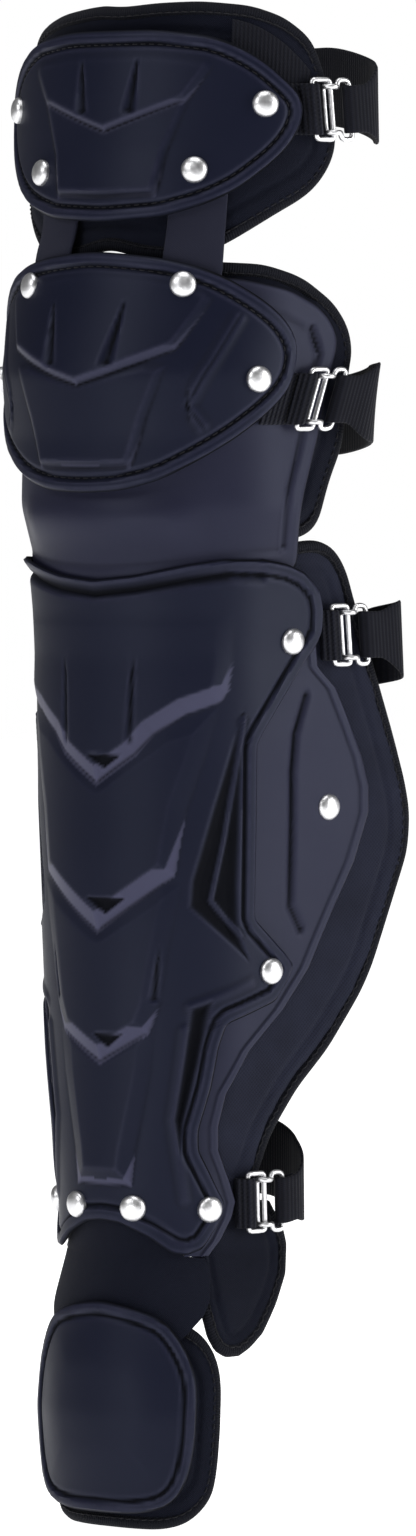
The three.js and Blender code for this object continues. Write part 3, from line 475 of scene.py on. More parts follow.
# %% Cloth, tape and webbing finishes
def woven(name, deep, pale, thread, depth, mesh=False):
    """A plain weave with threads this many millimetres apart, or a mesh of holes on the slant."""
    finish = Finish(name, 0.85, specular=0.12, sheen=0.03)
    across, up = finish.pattern_place()
    turn = 2 * math.pi / thread
    warp = ((across + up) * (0.7 * turn) if mesh else across * turn).wave()
    weft = ((across - up) * (0.7 * turn) if mesh else up * turn).wave()
    weave = (warp.size() * weft.size()).over(0.3) if mesh else warp * weft
    cloud = finish.noise(finish.object_place(), 45.0, 4.0, 0.6)
    finish.colour(finish.blend(weave * 0.35 + cloud * 0.65, deep, pale))
    finish.bump(weave, depth)
    return finish.material


def ribbed(name, deep, pale, rib, depth):
    """Ribs across the band, this many millimetres apart, with a fine thread along it."""
    finish = Finish(name, 0.8, specular=0.14, sheen=0.03)
    run, wide = finish.pattern_place()
    ribs = (run * (2 * math.pi / rib)).wave()
    threads = (wide * (2 * math.pi / (0.8 * rib))).wave()
    weave = ribs * 0.7 + threads * ribs * 0.3
    cloud = finish.noise(finish.object_place(), 60.0, 3.0, 0.6)
    finish.colour(finish.blend(weave * 0.3 + cloud * 0.6, deep, pale))
    finish.bump(weave, depth)
    return finish.material


PAD_CLOTH = woven("pad_cloth", (0.0018, 0.0026, 0.0078), (0.005, 0.0065, 0.0158), 0.9, 0.0001)
MESH_CLOTH = woven("mesh_cloth", (0.0016, 0.0022, 0.006), (0.017, 0.0195, 0.038), 2.6, 0.0004,
                   mesh=True)
TAPE = ribbed("binding_tape", (0.0012, 0.0016, 0.0042), (0.004, 0.0048, 0.0105), 1.3, 0.00015)
WEBBING = ribbed("tab_webbing", (0.002, 0.0022, 0.005), (0.010, 0.011, 0.020), 2.4, 0.0005)
ELASTIC = ribbed("leg_elastic", (0.002, 0.0022, 0.005), (0.006, 0.0068, 0.013), 2.0, 0.00015)
# painted light: the hinge webbing is made lighter than the other webbing, as if lit from the side
HINGE_PAINTED_LIGHTER = woven("hinge_webbing", (0.012, 0.013, 0.025), (0.018, 0.019, 0.034), 0.7, 0.00008)
print("cloths:", PAD_CLOTH.name, MESH_CLOTH.name, TAPE.name)

# %% [markdown]
# ## Nickel and thread
# Rivets, rings and hooks are nickel plated: bright, a little uneven from polishing, with soft
# scratches.

# %% Nickel and thread finishes
nickel = Finish("bright_nickel", 0.35, metallic=1.0)
cloud = nickel.noise(nickel.object_place(), 500.0, 3.0, 0.6)
nickel.colour(nickel.blend(cloud, (0.56, 0.56, 0.58), (0.85, 0.85, 0.86)))
nickel.roughness(cloud * 0.25 + 0.26)
nickel.bump(cloud, 0.00015)
NICKEL = nickel.material

thread = Finish("dark_thread", 0.7, specular=0.3)
lint = thread.noise(thread.object_place(), 900.0)
thread.colour(thread.blend(lint, (0.002, 0.002, 0.004), (0.008, 0.008, 0.012)))
THREAD = thread.material

paper = Finish("studio_paper", 0.9, specular=0.1)
pulp = paper.noise(paper.object_place(), 3.0)
paper.colour(paper.blend(pulp, (0.86, 0.86, 0.86), (0.9, 0.9, 0.9)))
paper.shader.inputs["Emission Color"].default_value = (1, 1, 1, 1)
paper.shader.inputs["Emission Strength"].default_value = 0.97
floor.data.materials.append(paper.material)
print("nickel and thread ready")

# %% [markdown]
# ## Plate outlines
# A plate is cut to an outline before it is bent. Its right half has a bottom, a side and a top
# edge, and the left half mirrors it. A patch between the four edges carries the grid, so that
# rows and columns follow the cut, and the cut stays smooth without any trimming.

# %% Even loops and edges
def even_loop(points, step):
    closed = np.vstack([points, points[:1]])
    lengths = np.concatenate([[0], np.cumsum(np.hypot(*np.diff(closed, axis=0).T))])
    count = max(8, round(lengths[-1] / step))
    spots = np.linspace(0, lengths[-1], count, endpoint=False)
    return np.stack([np.interp(spots, lengths, closed[:, i]) for i in (0, 1)], -1)


def edge_curve(table, by_height=0.0):
    """A function from 0..1 to along and height, even by length, or partly by height."""
    steps = np.hypot(*np.diff(table, axis=0).T)
    length = np.concatenate([[0], np.cumsum(steps)]) / steps.sum()
    rise = np.maximum.accumulate((table[:, 1] - table[0, 1]) / (table[-1, 1] - table[0, 1]))
    place = (1 - by_height) * length + by_height * rise
    return lambda t: (np.interp(t, place, table[:, 0]), np.interp(t, place, table[:, 1]))


print("edge of a 10 mm square, points 2 mm apart:",
      len(even_loop(np.array([(0, 0), (10, 0), (10, 10), (0, 10)], float), 2.0)))

# %% [markdown]
# ## The outline itself
# The half outline is mirrored, its corners are rounded by averaging along the closed edge, and
# then it is parted into a bottom, a side and a top again.

# %% A patch between a bottom, a side and a top edge
class Outline:
    """soft is how many millimetres of the edge each corner is rounded over."""

    def __init__(self, bottom, side, top, by_height=0.0, soft=24):
        half = np.array([*bottom, *side, *top], float)
        full = even_loop(np.vstack([half, (half * [-1, 1])[::-1]]), 0.5)
        kernel = np.hanning(2 * soft + 1) / np.hanning(2 * soft + 1).sum()
        wrapped = np.vstack([full[-soft:], full, full[:soft]])
        full = np.stack([np.convolve(wrapped[:, i], kernel, "valid") for i in (0, 1)], -1)
        right_half = full[:len(full) // 2]
        right_half[[0, -1], 0] = 0
        low = np.argmin(np.hypot(*(right_half - bottom[-1]).T))
        high = np.argmin(np.hypot(*(right_half - top[0]).T))
        self.bottom = edge_curve(right_half[:low + 1])
        self.side = edge_curve(right_half[low:high + 1], by_height)
        self.top = edge_curve(right_half[high:][::-1])

    def place(self, u, v):
        t = np.abs(2 * u - 1)
        corner_low, corner_high = self.bottom(1.0), self.top(1.0)
        low, high, side = self.bottom(t), self.top(t), self.side(v)
        both = []
        for i in (0, 1):
            straight = (1 - v) * corner_low[i] + v * corner_high[i]
            both.append((1 - v) * low[i] + v * high[i] + t * (side[i] - straight))
        return np.sign(2 * u - 1) * both[0], both[1]

    def loop(self, inset=0.0, step=2.0, steps=400):
        """The closed edge as points a step apart, set inward by inset."""
        line = np.linspace(0, 1, steps, endpoint=False)
        ones = np.ones(steps)
        sides = [self.place(line, 0 * ones), self.place(ones, line), self.place(1 - line, ones),
                 self.place(0 * ones, 1 - line)]
        points = np.concatenate([np.stack(side, -1) for side in sides])
        return even_loop(inset_loop(even_loop(points, 1.0), inset), step)


print("an outline offers:", [name for name in vars(Outline) if name[0] != "_"])

# %% [markdown]
# ## Insets
# Threads, tapes and rims run at a fixed distance inside the cut edge, so the edge is moved
# inwards, and the distance of any place from the edge is found.

# %% Insets and distances
def loop_normals(points):
    run = np.roll(points, -2, axis=0) - np.roll(points, 2, axis=0)
    run /= np.hypot(*run.T)[:, None]
    return np.stack([run[:, 1], -run[:, 0]], -1)


def inset_loop(points, inset):
    if not inset:
        return points
    moved = points - inset * loop_normals(points)
    gaps = moved[:, None] - points[None]
    near = np.hypot(gaps[..., 0], gaps[..., 1]).min(1)
    return moved[near > abs(inset) - 0.35]


def edge_distance(outline, along, height):
    """How far inside the cut edge each place is."""
    loop = outline.loop(step=3.0)
    best = np.full(along.size, 1e9)
    flat = np.stack([along.ravel(), height.ravel()], -1)
    for start, end in zip(loop, np.roll(loop, -1, axis=0)):
        run = end - start
        share = np.clip((flat - start) @ run / (run @ run), 0, 1)
        best = np.minimum(best, np.hypot(*(flat - start - share[:, None] * run).T))
    return best.reshape(along.shape)


print("outline patches ready")

# %% [markdown]
# ## Making a moulded plate
# A plate takes an outline and a relief. The relief gives every place its height above the leg
# form, the way a mould's cavity does. Two more values are kept on the mesh for the finish:
# `crest` where a ridge stands proud, painted lighter as rubbed wear and as a painted highlight,
# and the hollow value, where a groove is painted near black as painted shade.

# %% Layers, and values kept on the mesh
CAD = {
    "plate_out": 0.0,
    "second_out": -4.2,
    "cap_out": 3.2,
    "pad_out": -8.4,
    "wall": 3.0,
}


def keep_value(piece, name, values):
    layer = piece.data.attributes.new(name, "FLOAT", "POINT")
    layer.data.foreach_set("value", np.ascontiguousarray(values, dtype=np.float32))


def mesh_points(piece):
    points = np.empty(len(piece.data.vertices) * 3)
    piece.data.vertices.foreach_get("co", points)
    return points.reshape(-1, 3)


def set_points(piece, points):
    piece.data.vertices.foreach_set("co", np.ascontiguousarray(points).ravel())
    piece.data.update()


print("layers, mm above the form:", CAD)

# %% [markdown]
# ## The plate maker
# The grid is bent with its relief, Solidify gives it its wall, and a small bevel breaks the cut
# edge. The values for the finish are measured by comparing the relief with its mean a little way
# off.

# %% Plate maker
NEARBY = ((1.6, 0), (-1.6, 0), (0, 1.6), (0, -1.6))


def moulded_plate(name, place, relief, grid, out, finish, wall=CAD["wall"], hollow=None,
                  facet=None):
    """place: u, v to along, height. relief: along, height to millimetres above the form.

    The inside is kept flat, so that a deep groove doesn't push through to the layer behind.
    """
    spots = {}

    def bent(u, v):
        along, height = place(u, v)
        spots["along"], spots["height"] = along, height
        return wrap(along, height, out + relief(along, height))

    piece = bent_grid(name, *grid, bent, flat=place)
    along, height = spots["along"], spots["height"]
    front_count = len(along)
    middle = relief(along, height)
    round_it = sum(relief(along + a, height + h) for a, h in NEARBY) / 4
    # ridges above the relief around them go lighter: part wear, part painted highlight
    keep_value(piece, "crest", np.clip((middle - round_it) * 4, 0, 1))
    # places below the relief around them get painted shade
    dark = np.clip((round_it - middle) * 2.5, 0, 1)
    keep_value(piece, "hollow", np.maximum(dark, hollow(along, height)) if hollow else dark)
    # facet marks the bevels that the finish paints lighter, a painted highlight
    keep_value(piece, "facet", facet(along, height) if facet else 0 * dark)
    apply_modifier(piece, "SOLIDIFY", thickness=wall / 1000, offset=-1)
    points = mesh_points(piece)
    along, height, depth = unwrap(points)
    flat_inside = wrap(along, height, np.maximum(depth, out - wall))
    points[front_count:] = flat_inside[front_count:]
    set_points(piece, points)
    apply_modifier(piece, "BEVEL", width=0.0005, segments=2, limit_method="ANGLE",
                   angle_limit=math.radians(65))
    piece.data.materials.append(finish)
    smooth(piece, 35)
    print(name, "faces:", len(piece.data.polygons))
    return piece


print("relief is compared this far off, mm:", NEARBY[0][0])

# %% [markdown]
# ## Shields and rims
# Three of the plates share one motif: raised shields that overlap like roof tiles, with a flat
# bevel along each foot. All four have a rolled rim along their cut edge.

# %% Shields and rims
def shields(panels, along, height):
    """Overlapping raised shields, each highest at its foot.

    A shield is its points, how many of them are its foot, its lift low and high, and its bevel.
    """
    total = np.zeros(along.shape)
    side = np.abs(along)
    for points, foot, low, high, bevel in panels:
        heights = [h for _, h in points]
        share = np.clip((height - min(heights)) / (max(heights) - min(heights)), 0, 1)
        lift = low + (high - low) * share
        total = np.maximum(total, lift * raised(mirrored(points), side, height, bevel))
    return total


def shield_bevel_highlights(panels, along, height):
    """1 on the flat bevel at the foot of each shield, which the finish paints lighter as a
    highlight.
    """
    side = np.abs(along)
    total = np.zeros(along.shape)
    for points, foot, low, high, bevel in panels:
        foot_depth = line_distance(points[:foot], side, height)
        tip = points[foot]
        shrink = np.clip((tip[1] - height) / (tip[1] - points[foot - 1][1]), 0, 1)
        side_depth = line_distance(points[foot - 1:foot + 1], side, height)
        on_foot = ease((bevel + 0.4 - foot_depth) / 1.1) * ease(foot_depth / 1.1 + 0.2)
        on_foot = on_foot * (height < points[foot - 1][1] + 0.4 * bevel)
        on_side = ease((0.75 * bevel * shrink - side_depth) / 1.1) * (height < tip[1])
        on_panel = inside(mirrored(points), side, height)
        total = np.maximum(total, on_panel * np.maximum(on_foot, on_side))
    return total


def rim(distance, wide, lift, groove):
    """A raised rim along the cut edge, and the groove inside it."""
    edge = lift * ease(distance / 1.5) * (1 - ease((distance - wide) / 1.2))
    slot = groove * np.exp(-((distance - wide - 1.8) / 1.0) ** 2)
    return edge - lift * (1 - ease(distance / 1.5)) - slot


print("a 5 mm rim, 0.9 mm high, at its middle:", rim(np.array([2.5]), 5, 0.9, 1.0).round(2))

# %% [markdown]
# ## The thigh plate
# The thigh plate is a broad shallow shell. A rolled lip runs round it with a stitched groove
# inside, and its middle is two shields: a lower trapezoid, and an upper one whose foot is a wide
# V. Two spindle-shaped creases run down the upper shield.

# %% Thigh plate
THIGH_CUT = Outline(
    bottom=[(0, 597), (30, 599), (51, 605), (65, 612), (81, 625)],
    side=[(88, 633), (92, 641), (93, 648), (91, 654)],
    top=[(85, 659), (73, 669), (60, 676), (49, 680), (23, 683), (0, 683)],
)
THIGH_SHIELDS = [
    ([(0, 608), (27, 608), (31, 628), (40, 651), (40, 654), (0, 640)], 2, 2.6, 0.6, 3.0),
    ([(0, 636), (39, 650), (49, 664), (54, 678), (0, 678)], 2, 3.4, 0.0, 4.0),
]


def thigh_relief(along, height):
    side = np.abs(along)
    total = shields(THIGH_SHIELDS, along, height)
    total -= 1.9 * crease((15.5, 674), (12.8, 647), side, height, 7.5)
    distance = edge_distance(THIGH_CUT, along, height)
    return total * ease((distance - 9) / 5) + rim(distance, 4.6, 0.9, 1.0)


thigh_plate = moulded_plate(
    "thigh_plate", THIGH_CUT.place, thigh_relief, (170, 86), CAD["plate_out"], PLATE,
    facet=lambda along, height: 0.5 * shield_bevel_highlights(THIGH_SHIELDS, along, height))
settle(thigh_plate, "root", "shell_plastic", "thigh_shell")

# %% [markdown]
# ## The knee cap
# The knee cap has the same build, with the V of its upper shield lower down, a low bar along the
# foot of its trapezoid, and a slanted fold on each side.

# %% Knee cap
KNEE_CUT = Outline(
    bottom=[(0, 476), (19, 477), (37, 482), (54, 491), (69, 500), (82, 509)],
    side=[(91, 516), (98, 523), (102, 531), (101, 541), (97, 548)],
    top=[(90, 555), (80, 562), (62, 572), (50, 577), (32, 581), (14, 583), (0, 584)],
)
KNEE_SHIELDS = [
    ([(0, 487), (24, 487), (31, 509), (41, 533), (30, 534), (0, 526)], 2, 2.8, 0.8, 3.4),
    ([(0, 523), (12, 527), (44, 540), (56, 561), (60, 578), (0, 578)], 3, 3.6, 0.0, 4.2),
]


def knee_relief(along, height):
    side = np.abs(along)
    total = shields(KNEE_SHIELDS, along, height)
    total -= 2.0 * crease((19, 565), (14.5, 534), side, height, 8.0)
    fold = line_distance([(70, 556), (60, 534), (49, 515), (55, 506), (57, 500)], side, height)
    total += np.where(side > 50, 0.9, 0) * ease(1 - fold / 5) - 0.5 * np.exp(-(fold / 0.9) ** 2)
    distance = edge_distance(KNEE_CUT, along, height)
    return total * ease((distance - 8) / 4) + rim(distance, 4.6, 0.9, 1.0)


knee_cap = moulded_plate(
    "knee_cap", KNEE_CUT.place, knee_relief, (184, 98), CAD["cap_out"], PLATE,
    facet=lambda along, height: 0.5 * shield_bevel_highlights(KNEE_SHIELDS, along, height))
settle(knee_cap, "root", "shell_plastic", "knee_shell")

# %% [markdown]
# ## The brace under the knee cap
# The brace is a broad plate of the navy plastic between the knee cap and its pad, painted
# lighter as if lit from the side. It swells where it comes out under the cap, folds in where it
# meets the shin plate, and a crease follows its outer edge.

# %% Brace
BRACE_CUT = Outline(
    bottom=[(0, 431), (30, 433), (60, 437), (104, 440)],
    side=[(105, 450), (107.5, 466), (110.5, 478), (114.5, 490), (121, 510), (128, 532), (129, 545)],
    top=[(124, 552), (116, 559), (96, 567), (68, 572), (0, 574)],
    by_height=0.5,
)


def brace_relief(along, height):
    side = np.abs(along)
    distance = edge_distance(BRACE_CUT, along, height)
    swell = 3.0 * np.exp(-((height - 463) / 9.5) ** 2) * ease((60 - side) / 22)
    fold = line_distance([(97, 452), (101, 478), (112, 512), (119, 538), (112, 550)], side, height)
    ledge = 0.8 * ease((12 - distance) / 4) * ease(distance / 1.6)
    return swell + ledge - 1.1 * np.exp(-(fold / 1.6) ** 2)


brace = moulded_plate("knee_brace", BRACE_CUT.place, brace_relief, (150, 84),
                      CAD["second_out"], WING_PAINTED_LIGHTER)
settle(brace, "root", "wing_plastic", "brace_shell")

# %% [markdown]
# ## The shin plate
# The shin plate carries the looks of the guard: four shields that overlap like roof tiles. Each
# has a chevron foot with a flat bevel, painted lighter as a highlight, and a small pressed-in
# triangle above its point, painted near black as shade. Knife-shaped recesses run beside them,
# also painted near black as shade, the edge is a raised rim, and the foot arches over the instep.
# The relief is drawn with measured corners, because sculpting would not keep its straight edges.

# %% Shin plate outline and shields
SHIN_CUT = Outline(
    bottom=[(0, 148), (9, 147), (22, 141), (33, 133.5), (40, 132.5), (48, 135)],
    side=[(57, 147), (60, 155), (55, 163), (46, 180), (46, 189), (52, 208), (56, 227), (60, 237),
          (87, 246), (95, 256), (98, 262), (93, 268), (76, 284), (76.5, 340), (77, 363), (81, 369),
          (105, 400),
          (111, 406), (115, 413), (116, 423), (114, 432), (106, 440), (96, 444)],
    top=[(84, 446), (63, 446.5), (45, 444), (20, 439), (0, 437)],
    by_height=0.6, soft=7,
)
SHIN_SHIELDS = [
    ([(0, 164), (15, 164), (17, 180), (24, 214), (27, 240), (0, 226)], 2, 3.4, 0.3, 7.6),
    ([(0, 218), (24, 233), (29, 246), (33, 268), (40, 300), (30, 302), (0, 282)], 2, 3.8, 0.5, 8.2),
    ([(0, 277.5), (37, 304.5), (42, 333), (52, 361), (58, 381), (30, 372), (0, 350)],
     2, 3.9, 0.5, 8.6),
    ([(0, 344), (20, 358), (28, 367.5), (42, 376.5), (58, 382), (62, 387), (64, 401), (66, 424),
      (0, 424)], 6, 3.9, 0.0, 8.2),
]
TRIANGLES = [((4.5, 352), (-5, 359), (14, 359)), ((5, 286.5), (-5, 294.5), (15.5, 294.5)),
             ((4.5, 226), (-2.5, 233), (13, 233))]
BLADES = [
    [(69.5, 381), (54, 335), (44, 302), (43, 290), (60, 275), (73, 264), (67, 277.5), (66.5, 300)],
    [(43, 245), (53, 248), (46, 218), (39.5, 192), (37, 176), (34, 194)],
]


BLADE_EDGE = [(69, 374), (60, 321), (53.5, 293), (67, 277.5)]


print("shields:", len(SHIN_SHIELDS), "blades a side:", len(BLADES))

# %% [markdown]
# ## The shin plate's relief
# The shields come first, then the dark triangles and creases are pressed into them, the blades
# are cut beside them, and two ridges are raised towards the foot. A slot runs along the top under
# the rim.

# %% Shin plate
def shin_hollow_shade(along, height):
    # painted shade: the blades, the triangles above the chevron points and the slot under the top
    # rim
    side = np.abs(along)
    dark = sum(raised(list(blade), side, height, 2.0) for blade in BLADES)
    # less painted shade along the raised edge beside each blade
    dark = dark * (1 - 0.9 * ease((1.9 - line_distance(BLADE_EDGE, side, height)) / 1.0))
    dark = dark + sum(raised(list(spot), along, height, 0.8) for spot in TRIANGLES)
    strip = line_distance([(0, 431), (20, 433), (45, 437), (63, 439)], np.abs(along), height)
    return np.clip(dark + ease(1 - strip / 4), 0, 1)


def shin_relief(along, height):
    side = np.abs(along)
    total = shields(SHIN_SHIELDS, along, height)
    for spot in TRIANGLES:
        total -= 1.3 * raised(list(spot), along, height, 1.2)
    for points in ([(19, 416), (17, 366)], [(30, 276), (26.5, 249)]):
        total -= 1.1 * crease(*points, side, height, 5.0)
    total -= 2.4 * raised(BLADES[0], side, height, 5.0) + 2.2 * raised(BLADES[1], side, height, 3.0)
    facet = line_distance([(40, 234), (34, 194), (39, 158)], side, height)
    ridge = line_distance([(73, 255), (43, 245)], side, height)
    total += 0.9 * ease(1 - facet / 4.5) + 0.8 * ease(1 - ridge / 4)
    total += 1.3 * ease(1 - line_distance(BLADE_EDGE, side, height) / 2.8)
    strip = line_distance([(0, 432), (20, 434), (45, 438), (63, 440), (80, 439)], side, height)
    distance = edge_distance(SHIN_CUT, along, height)
    inner = total * ease((distance - 6) / 4) - 1.7 * ease(1 - strip / 5)
    return inner + rim(distance, 5.2, 0.9, 0.8)


shin_plate = moulded_plate(
    "shin_plate", SHIN_CUT.place, shin_relief, (168, 240), CAD["plate_out"], PLATE,
    hollow=shin_hollow_shade,
    facet=lambda along, height: shield_bevel_highlights(SHIN_SHIELDS, along, height))
settle(shin_plate, "root", "shell_plastic", "shin_shell")

# %% [markdown]
# ## The wings
# A wing of the navy plastic, painted lighter as if lit from the side, sits behind each side of
# the shin plate and covers the calf. Its inner edge is hidden, so each row simply runs from an
# inner to an outer place at one height.

# %% Wings
WING_EDGES = np.array([
    # height, inner, outer
    (131.5, 40, 54), (138, 41, 61), (148, 42, 67.5), (155, 42, 69.5), (166, 38, 65),
    (179, 33, 58.5), (190, 33, 58), (205, 38, 62), (224, 42, 75), (242, 47, 95), (260, 62, 110),
    (280, 62, 121), (308, 62, 136), (330, 62, 144), (342, 62, 144), (356, 63, 140), (372, 68, 133),
    (387, 83, 126), (397, 87, 115.5), (422, 90, 113.5),
])
WING_GROOVE = np.array([
    # along, height
    (105, 278), (99, 289), (99.5, 350), (101.5, 367), (108, 384),
])


def wing_place(side, u, v):
    low, high = WING_EDGES[[0, -1], 0]
    height = low + v * (high - low)
    share = u if side > 0 else 1 - u
    inner, outer = (np.interp(height, WING_EDGES[:, 0], WING_EDGES[:, i]) for i in (1, 2))
    return side * (inner + share * (outer - inner)), height


def wing_relief(along, height):
    side = np.abs(along)
    outer = np.interp(height, WING_EDGES[:, 0], WING_EDGES[:, 2])
    distance = outer - side
    groove = line_distance(WING_GROOVE, side, height)
    ledge = 0.9 * ease((side - np.interp(height, WING_GROOVE[:, 1], WING_GROOVE[:, 0])) / 2)
    ledge = ledge * ease((height - 270) / 40) * ease((392 - height) / 40)
    edge = 0.5 * ease(distance / 1.5) * (1 - ease((distance - 4.5) / 1.5))
    edge = edge - 0.7 * (1 - ease(distance / 1.5))
    return ledge - 1.2 * np.exp(-(groove / 2.0) ** 2) + edge


for side, where in ((-1, "left"), (1, "right")):
    wing = moulded_plate(f"calf_wing_{where}", lambda u, v: wing_place(side, u, v), wing_relief,
                         (84, 200), CAD["second_out"], WING_PAINTED_LIGHTER)
    settle(wing, "root", "wing_plastic", f"wing_{where}")

# %% [markdown]
# ## The toe plate
# The toe plate is a small shell with a raised middle, riveted on its own pad over the shoe.

# %% Toe plate
TOE_CUT = Outline(
    bottom=[(0, 16), (19, 16), (31, 18), (37, 21)],
    side=[(42, 27), (46, 38), (48.5, 52), (49, 66), (48, 78), (44, 88)],
    top=[(39, 96), (32, 104), (17, 109), (0, 112)],
)


def toe_relief(along, height):
    distance = edge_distance(TOE_CUT, along, height)
    return 1.9 * ease((distance - 5) / 26) + rim(distance, 4.2, 0.8, 0.8)


toe_plate = moulded_plate("toe_plate", TOE_CUT.place, toe_relief, (72, 76), CAD["plate_out"], PLATE)
settle(toe_plate, "root", "shell_plastic", "toe_shell")

# %% [markdown]
# ## Sweeping a small section along a line
# Binding tape, thread, webbing, elastic and wire are all one section carried along a line. A grid
# is rolled into the section, its seam is merged, and the open ends are filled. The line of a tape
# or a thread lies on the flat pattern, and the section's second direction is `out`.

# %% Sweep tools
def rounded_section(half_wide, half_thick, corners=3):
    """A flat section with round ends, as points once round."""
    turns = np.linspace(0, math.pi / 2, corners + 1)
    r = min(half_wide, half_thick)
    quarter = np.stack([half_wide - r + r * np.cos(turns), half_thick - r + r * np.sin(turns)], -1)
    top = np.concatenate([quarter, (quarter * [-1, 1])[::-1]])
    return np.concatenate([top, -top])


def close_up(piece, finish, degrees=50):
    select_only(piece)
    bpy.ops.object.mode_set(mode="EDIT")
    bpy.ops.mesh.select_all(action="SELECT")
    bpy.ops.mesh.remove_doubles(threshold=2e-6)
    bpy.ops.mesh.select_all(action="DESELECT")
    bpy.ops.mesh.select_mode(type="EDGE")
    bpy.ops.mesh.select_non_manifold(extend=False, use_wire=False, use_multi_face=False,
                                     use_verts=False)
    bpy.ops.mesh.fill_holes(sides=0)
    bpy.ops.mesh.select_all(action="SELECT")
    bpy.ops.mesh.normals_make_consistent(inside=False)
    bpy.ops.object.mode_set(mode="OBJECT")
    piece.data.materials.append(finish)
    return smooth(piece, degrees)


def swept(name, count, section, at, finish, closed, lengths):
    """at turns a row and a section point into a point in metres. lengths are millimetres along."""
    around = len(section)
    rows = count if closed else count - 1

    def spots(u, v):
        ring = np.rint(u * around).astype(int) % around
        row = np.rint(v * rows).astype(int)
        return ring, row % count if closed else row

    perimeter = np.concatenate([[0], np.cumsum(np.hypot(*(np.roll(section, -1, 0) - section).T))])

    def flat(u, v):
        row = np.rint(v * rows).astype(int)
        return lengths[row], perimeter[np.rint(u * around).astype(int)]

    def place(u, v):
        ring, row = spots(u, v)
        return at(row, section[ring])

    return close_up(bent_grid(name, around, rows, place, flat=flat), finish)


print("points of a small round section:", len(rounded_section(0.34, 0.34, 1)))

# %% [markdown]
# ## Tape and thread on the pattern
# A tape keeps its section upright on the leg form. A thread is the same with a tiny section that
# rises and dips, so that only its stitches stay above the cloth or the plastic.

# %% Tape and thread
def tape_on_pattern(name, line, out, section, finish, closed=True):
    """A tape or thread along a line of the flat pattern, its section given as aside and out."""
    out = np.broadcast_to(out, len(line))
    if closed:
        side = loop_normals(line)
        ends = np.vstack([line, line[:1]])
    else:
        run = np.gradient(line, axis=0)
        side = np.stack([run[:, 1], -run[:, 0]], -1) / np.hypot(*run.T)[:, None]
        ends = line
    lengths = np.concatenate([[0], np.cumsum(np.hypot(*np.diff(ends, axis=0).T))])

    def at(row, point):
        flat = line[row] + side[row] * point[:, :1]
        return wrap(flat[:, 0], flat[:, 1], out[row] + point[:, 1])

    return swept(name, len(line), section, at, finish, closed, lengths)


THREAD_SECTION = rounded_section(0.34, 0.34, 1)


def stitched_thread(name, line, surface, closed=True, pitch=4.2):
    """A thread that dips through the surface between its stitches."""
    step = np.hypot(*(line[1] - line[0]))
    run = np.arange(len(line)) * step
    lift = np.cos(2 * math.pi * run / pitch) * 0.75
    level = surface + np.clip(lift, -0.6, 0.25)
    return tape_on_pattern(name, line, level, THREAD_SECTION, THREAD, closed)


print("thread, mm thick:", np.ptp(THREAD_SECTION[:, 0]))

# %% [markdown]
# ## Stitched grooves
# The thigh plate and the knee cap are also sewn: dark thread runs in the groove inside their
# rims.

# %% Thread in the plates' grooves
for name, cut, relief, out in (("thigh", THIGH_CUT, thigh_relief, CAD["plate_out"]),
                               ("knee", KNEE_CUT, knee_relief, CAD["cap_out"])):
    line = cut.loop(inset=6.4, step=0.8)
    level = out + relief(line[:, 0], line[:, 1]) + 0.15
    settle(stitched_thread(f"{name}_plate_thread", line, level), "root", "shell_plastic")
    print(name, "groove, points:", len(line))

# %% [markdown]
# ## Padded parts
# A pad is two layers of cloth over foam, bound together at the edge. A slab is cut to the pad's
# outline, remeshed into even small faces, and blown up a little by the cloth solver, so that it
# swells between its bound edges as foam does. The seam, the weave and the binding come
# afterwards, because the remesh would erase them. Moves are capped, so the pad stays clear of the
# plates in front of it.

# %% The cloth solver
PAD_FRONT = CAD["pad_out"]
CLOTH_FRAMES = 14
CLOTH_MOVE = 0.0022  # the furthest that a point may move, in metres


def pad_thickness(distance, rim_thickness, thickness):
    return rim_thickness + (thickness - rim_thickness) * ease(distance / 16)


def blow_up(piece):
    """Let the cloth solver fill the pad, and keep every move under its cap."""
    mesh = piece.data
    before = np.empty(len(mesh.vertices) * 3)
    mesh.vertices.foreach_get("co", before)
    select_only(piece)
    cloth = piece.modifiers.new("Cloth", "CLOTH")
    cloth.settings.quality = 4
    cloth.settings.use_pressure = True
    cloth.settings.uniform_pressure_force = 4
    cloth.settings.effector_weights.gravity = 0
    cloth.settings.tension_stiffness = 30
    cloth.settings.bending_stiffness = 2
    for frame_number in range(1, CLOTH_FRAMES + 1):
        bpy.context.scene.frame_set(frame_number)
    bpy.ops.object.modifier_apply(modifier=cloth.name)
    bpy.context.scene.frame_set(1)
    after = np.empty_like(before)
    mesh.vertices.foreach_get("co", after)
    move = (after - before).reshape(-1, 3)
    length = np.linalg.norm(move, axis=1, keepdims=True)
    move *= np.minimum(1, CLOTH_MOVE / np.maximum(length, 1e-9))
    mesh.vertices.foreach_set("co", (before.reshape(-1, 3) + move).ravel())
    mesh.update()


print("thickness 8 mm inside the edge, mm:", float(pad_thickness(8.0, 4.0, 9.5)))

# %% [markdown]
# ## The pad maker
# The slab's back is pushed out first, so that the remesh sees the pad's real thickness. After the
# cloth solver has run, Subdivision Surface rounds the small faces, and the seam line is pressed
# into the front.

# %% Pad maker
def loop_distance(loop, along, height):
    flat = np.stack([along, height], -1)
    best = np.full(len(flat), 1e9)
    odd = np.zeros(len(flat), bool)
    for start, end in zip(loop, np.roll(loop, -1, axis=0)):
        run = end - start
        share = np.clip((flat - start) @ run / (run @ run), 0, 1)
        best = np.minimum(best, np.hypot(*(flat - start - share[:, None] * run).T))
        crosses = (start[1] > flat[:, 1]) != (end[1] > flat[:, 1])
        at = start[0] + (flat[:, 1] - start[1]) * run[0] / (run[1] if run[1] else 1e-9)
        odd ^= crosses & (flat[:, 0] < at)
    return np.where(odd, best, -best)


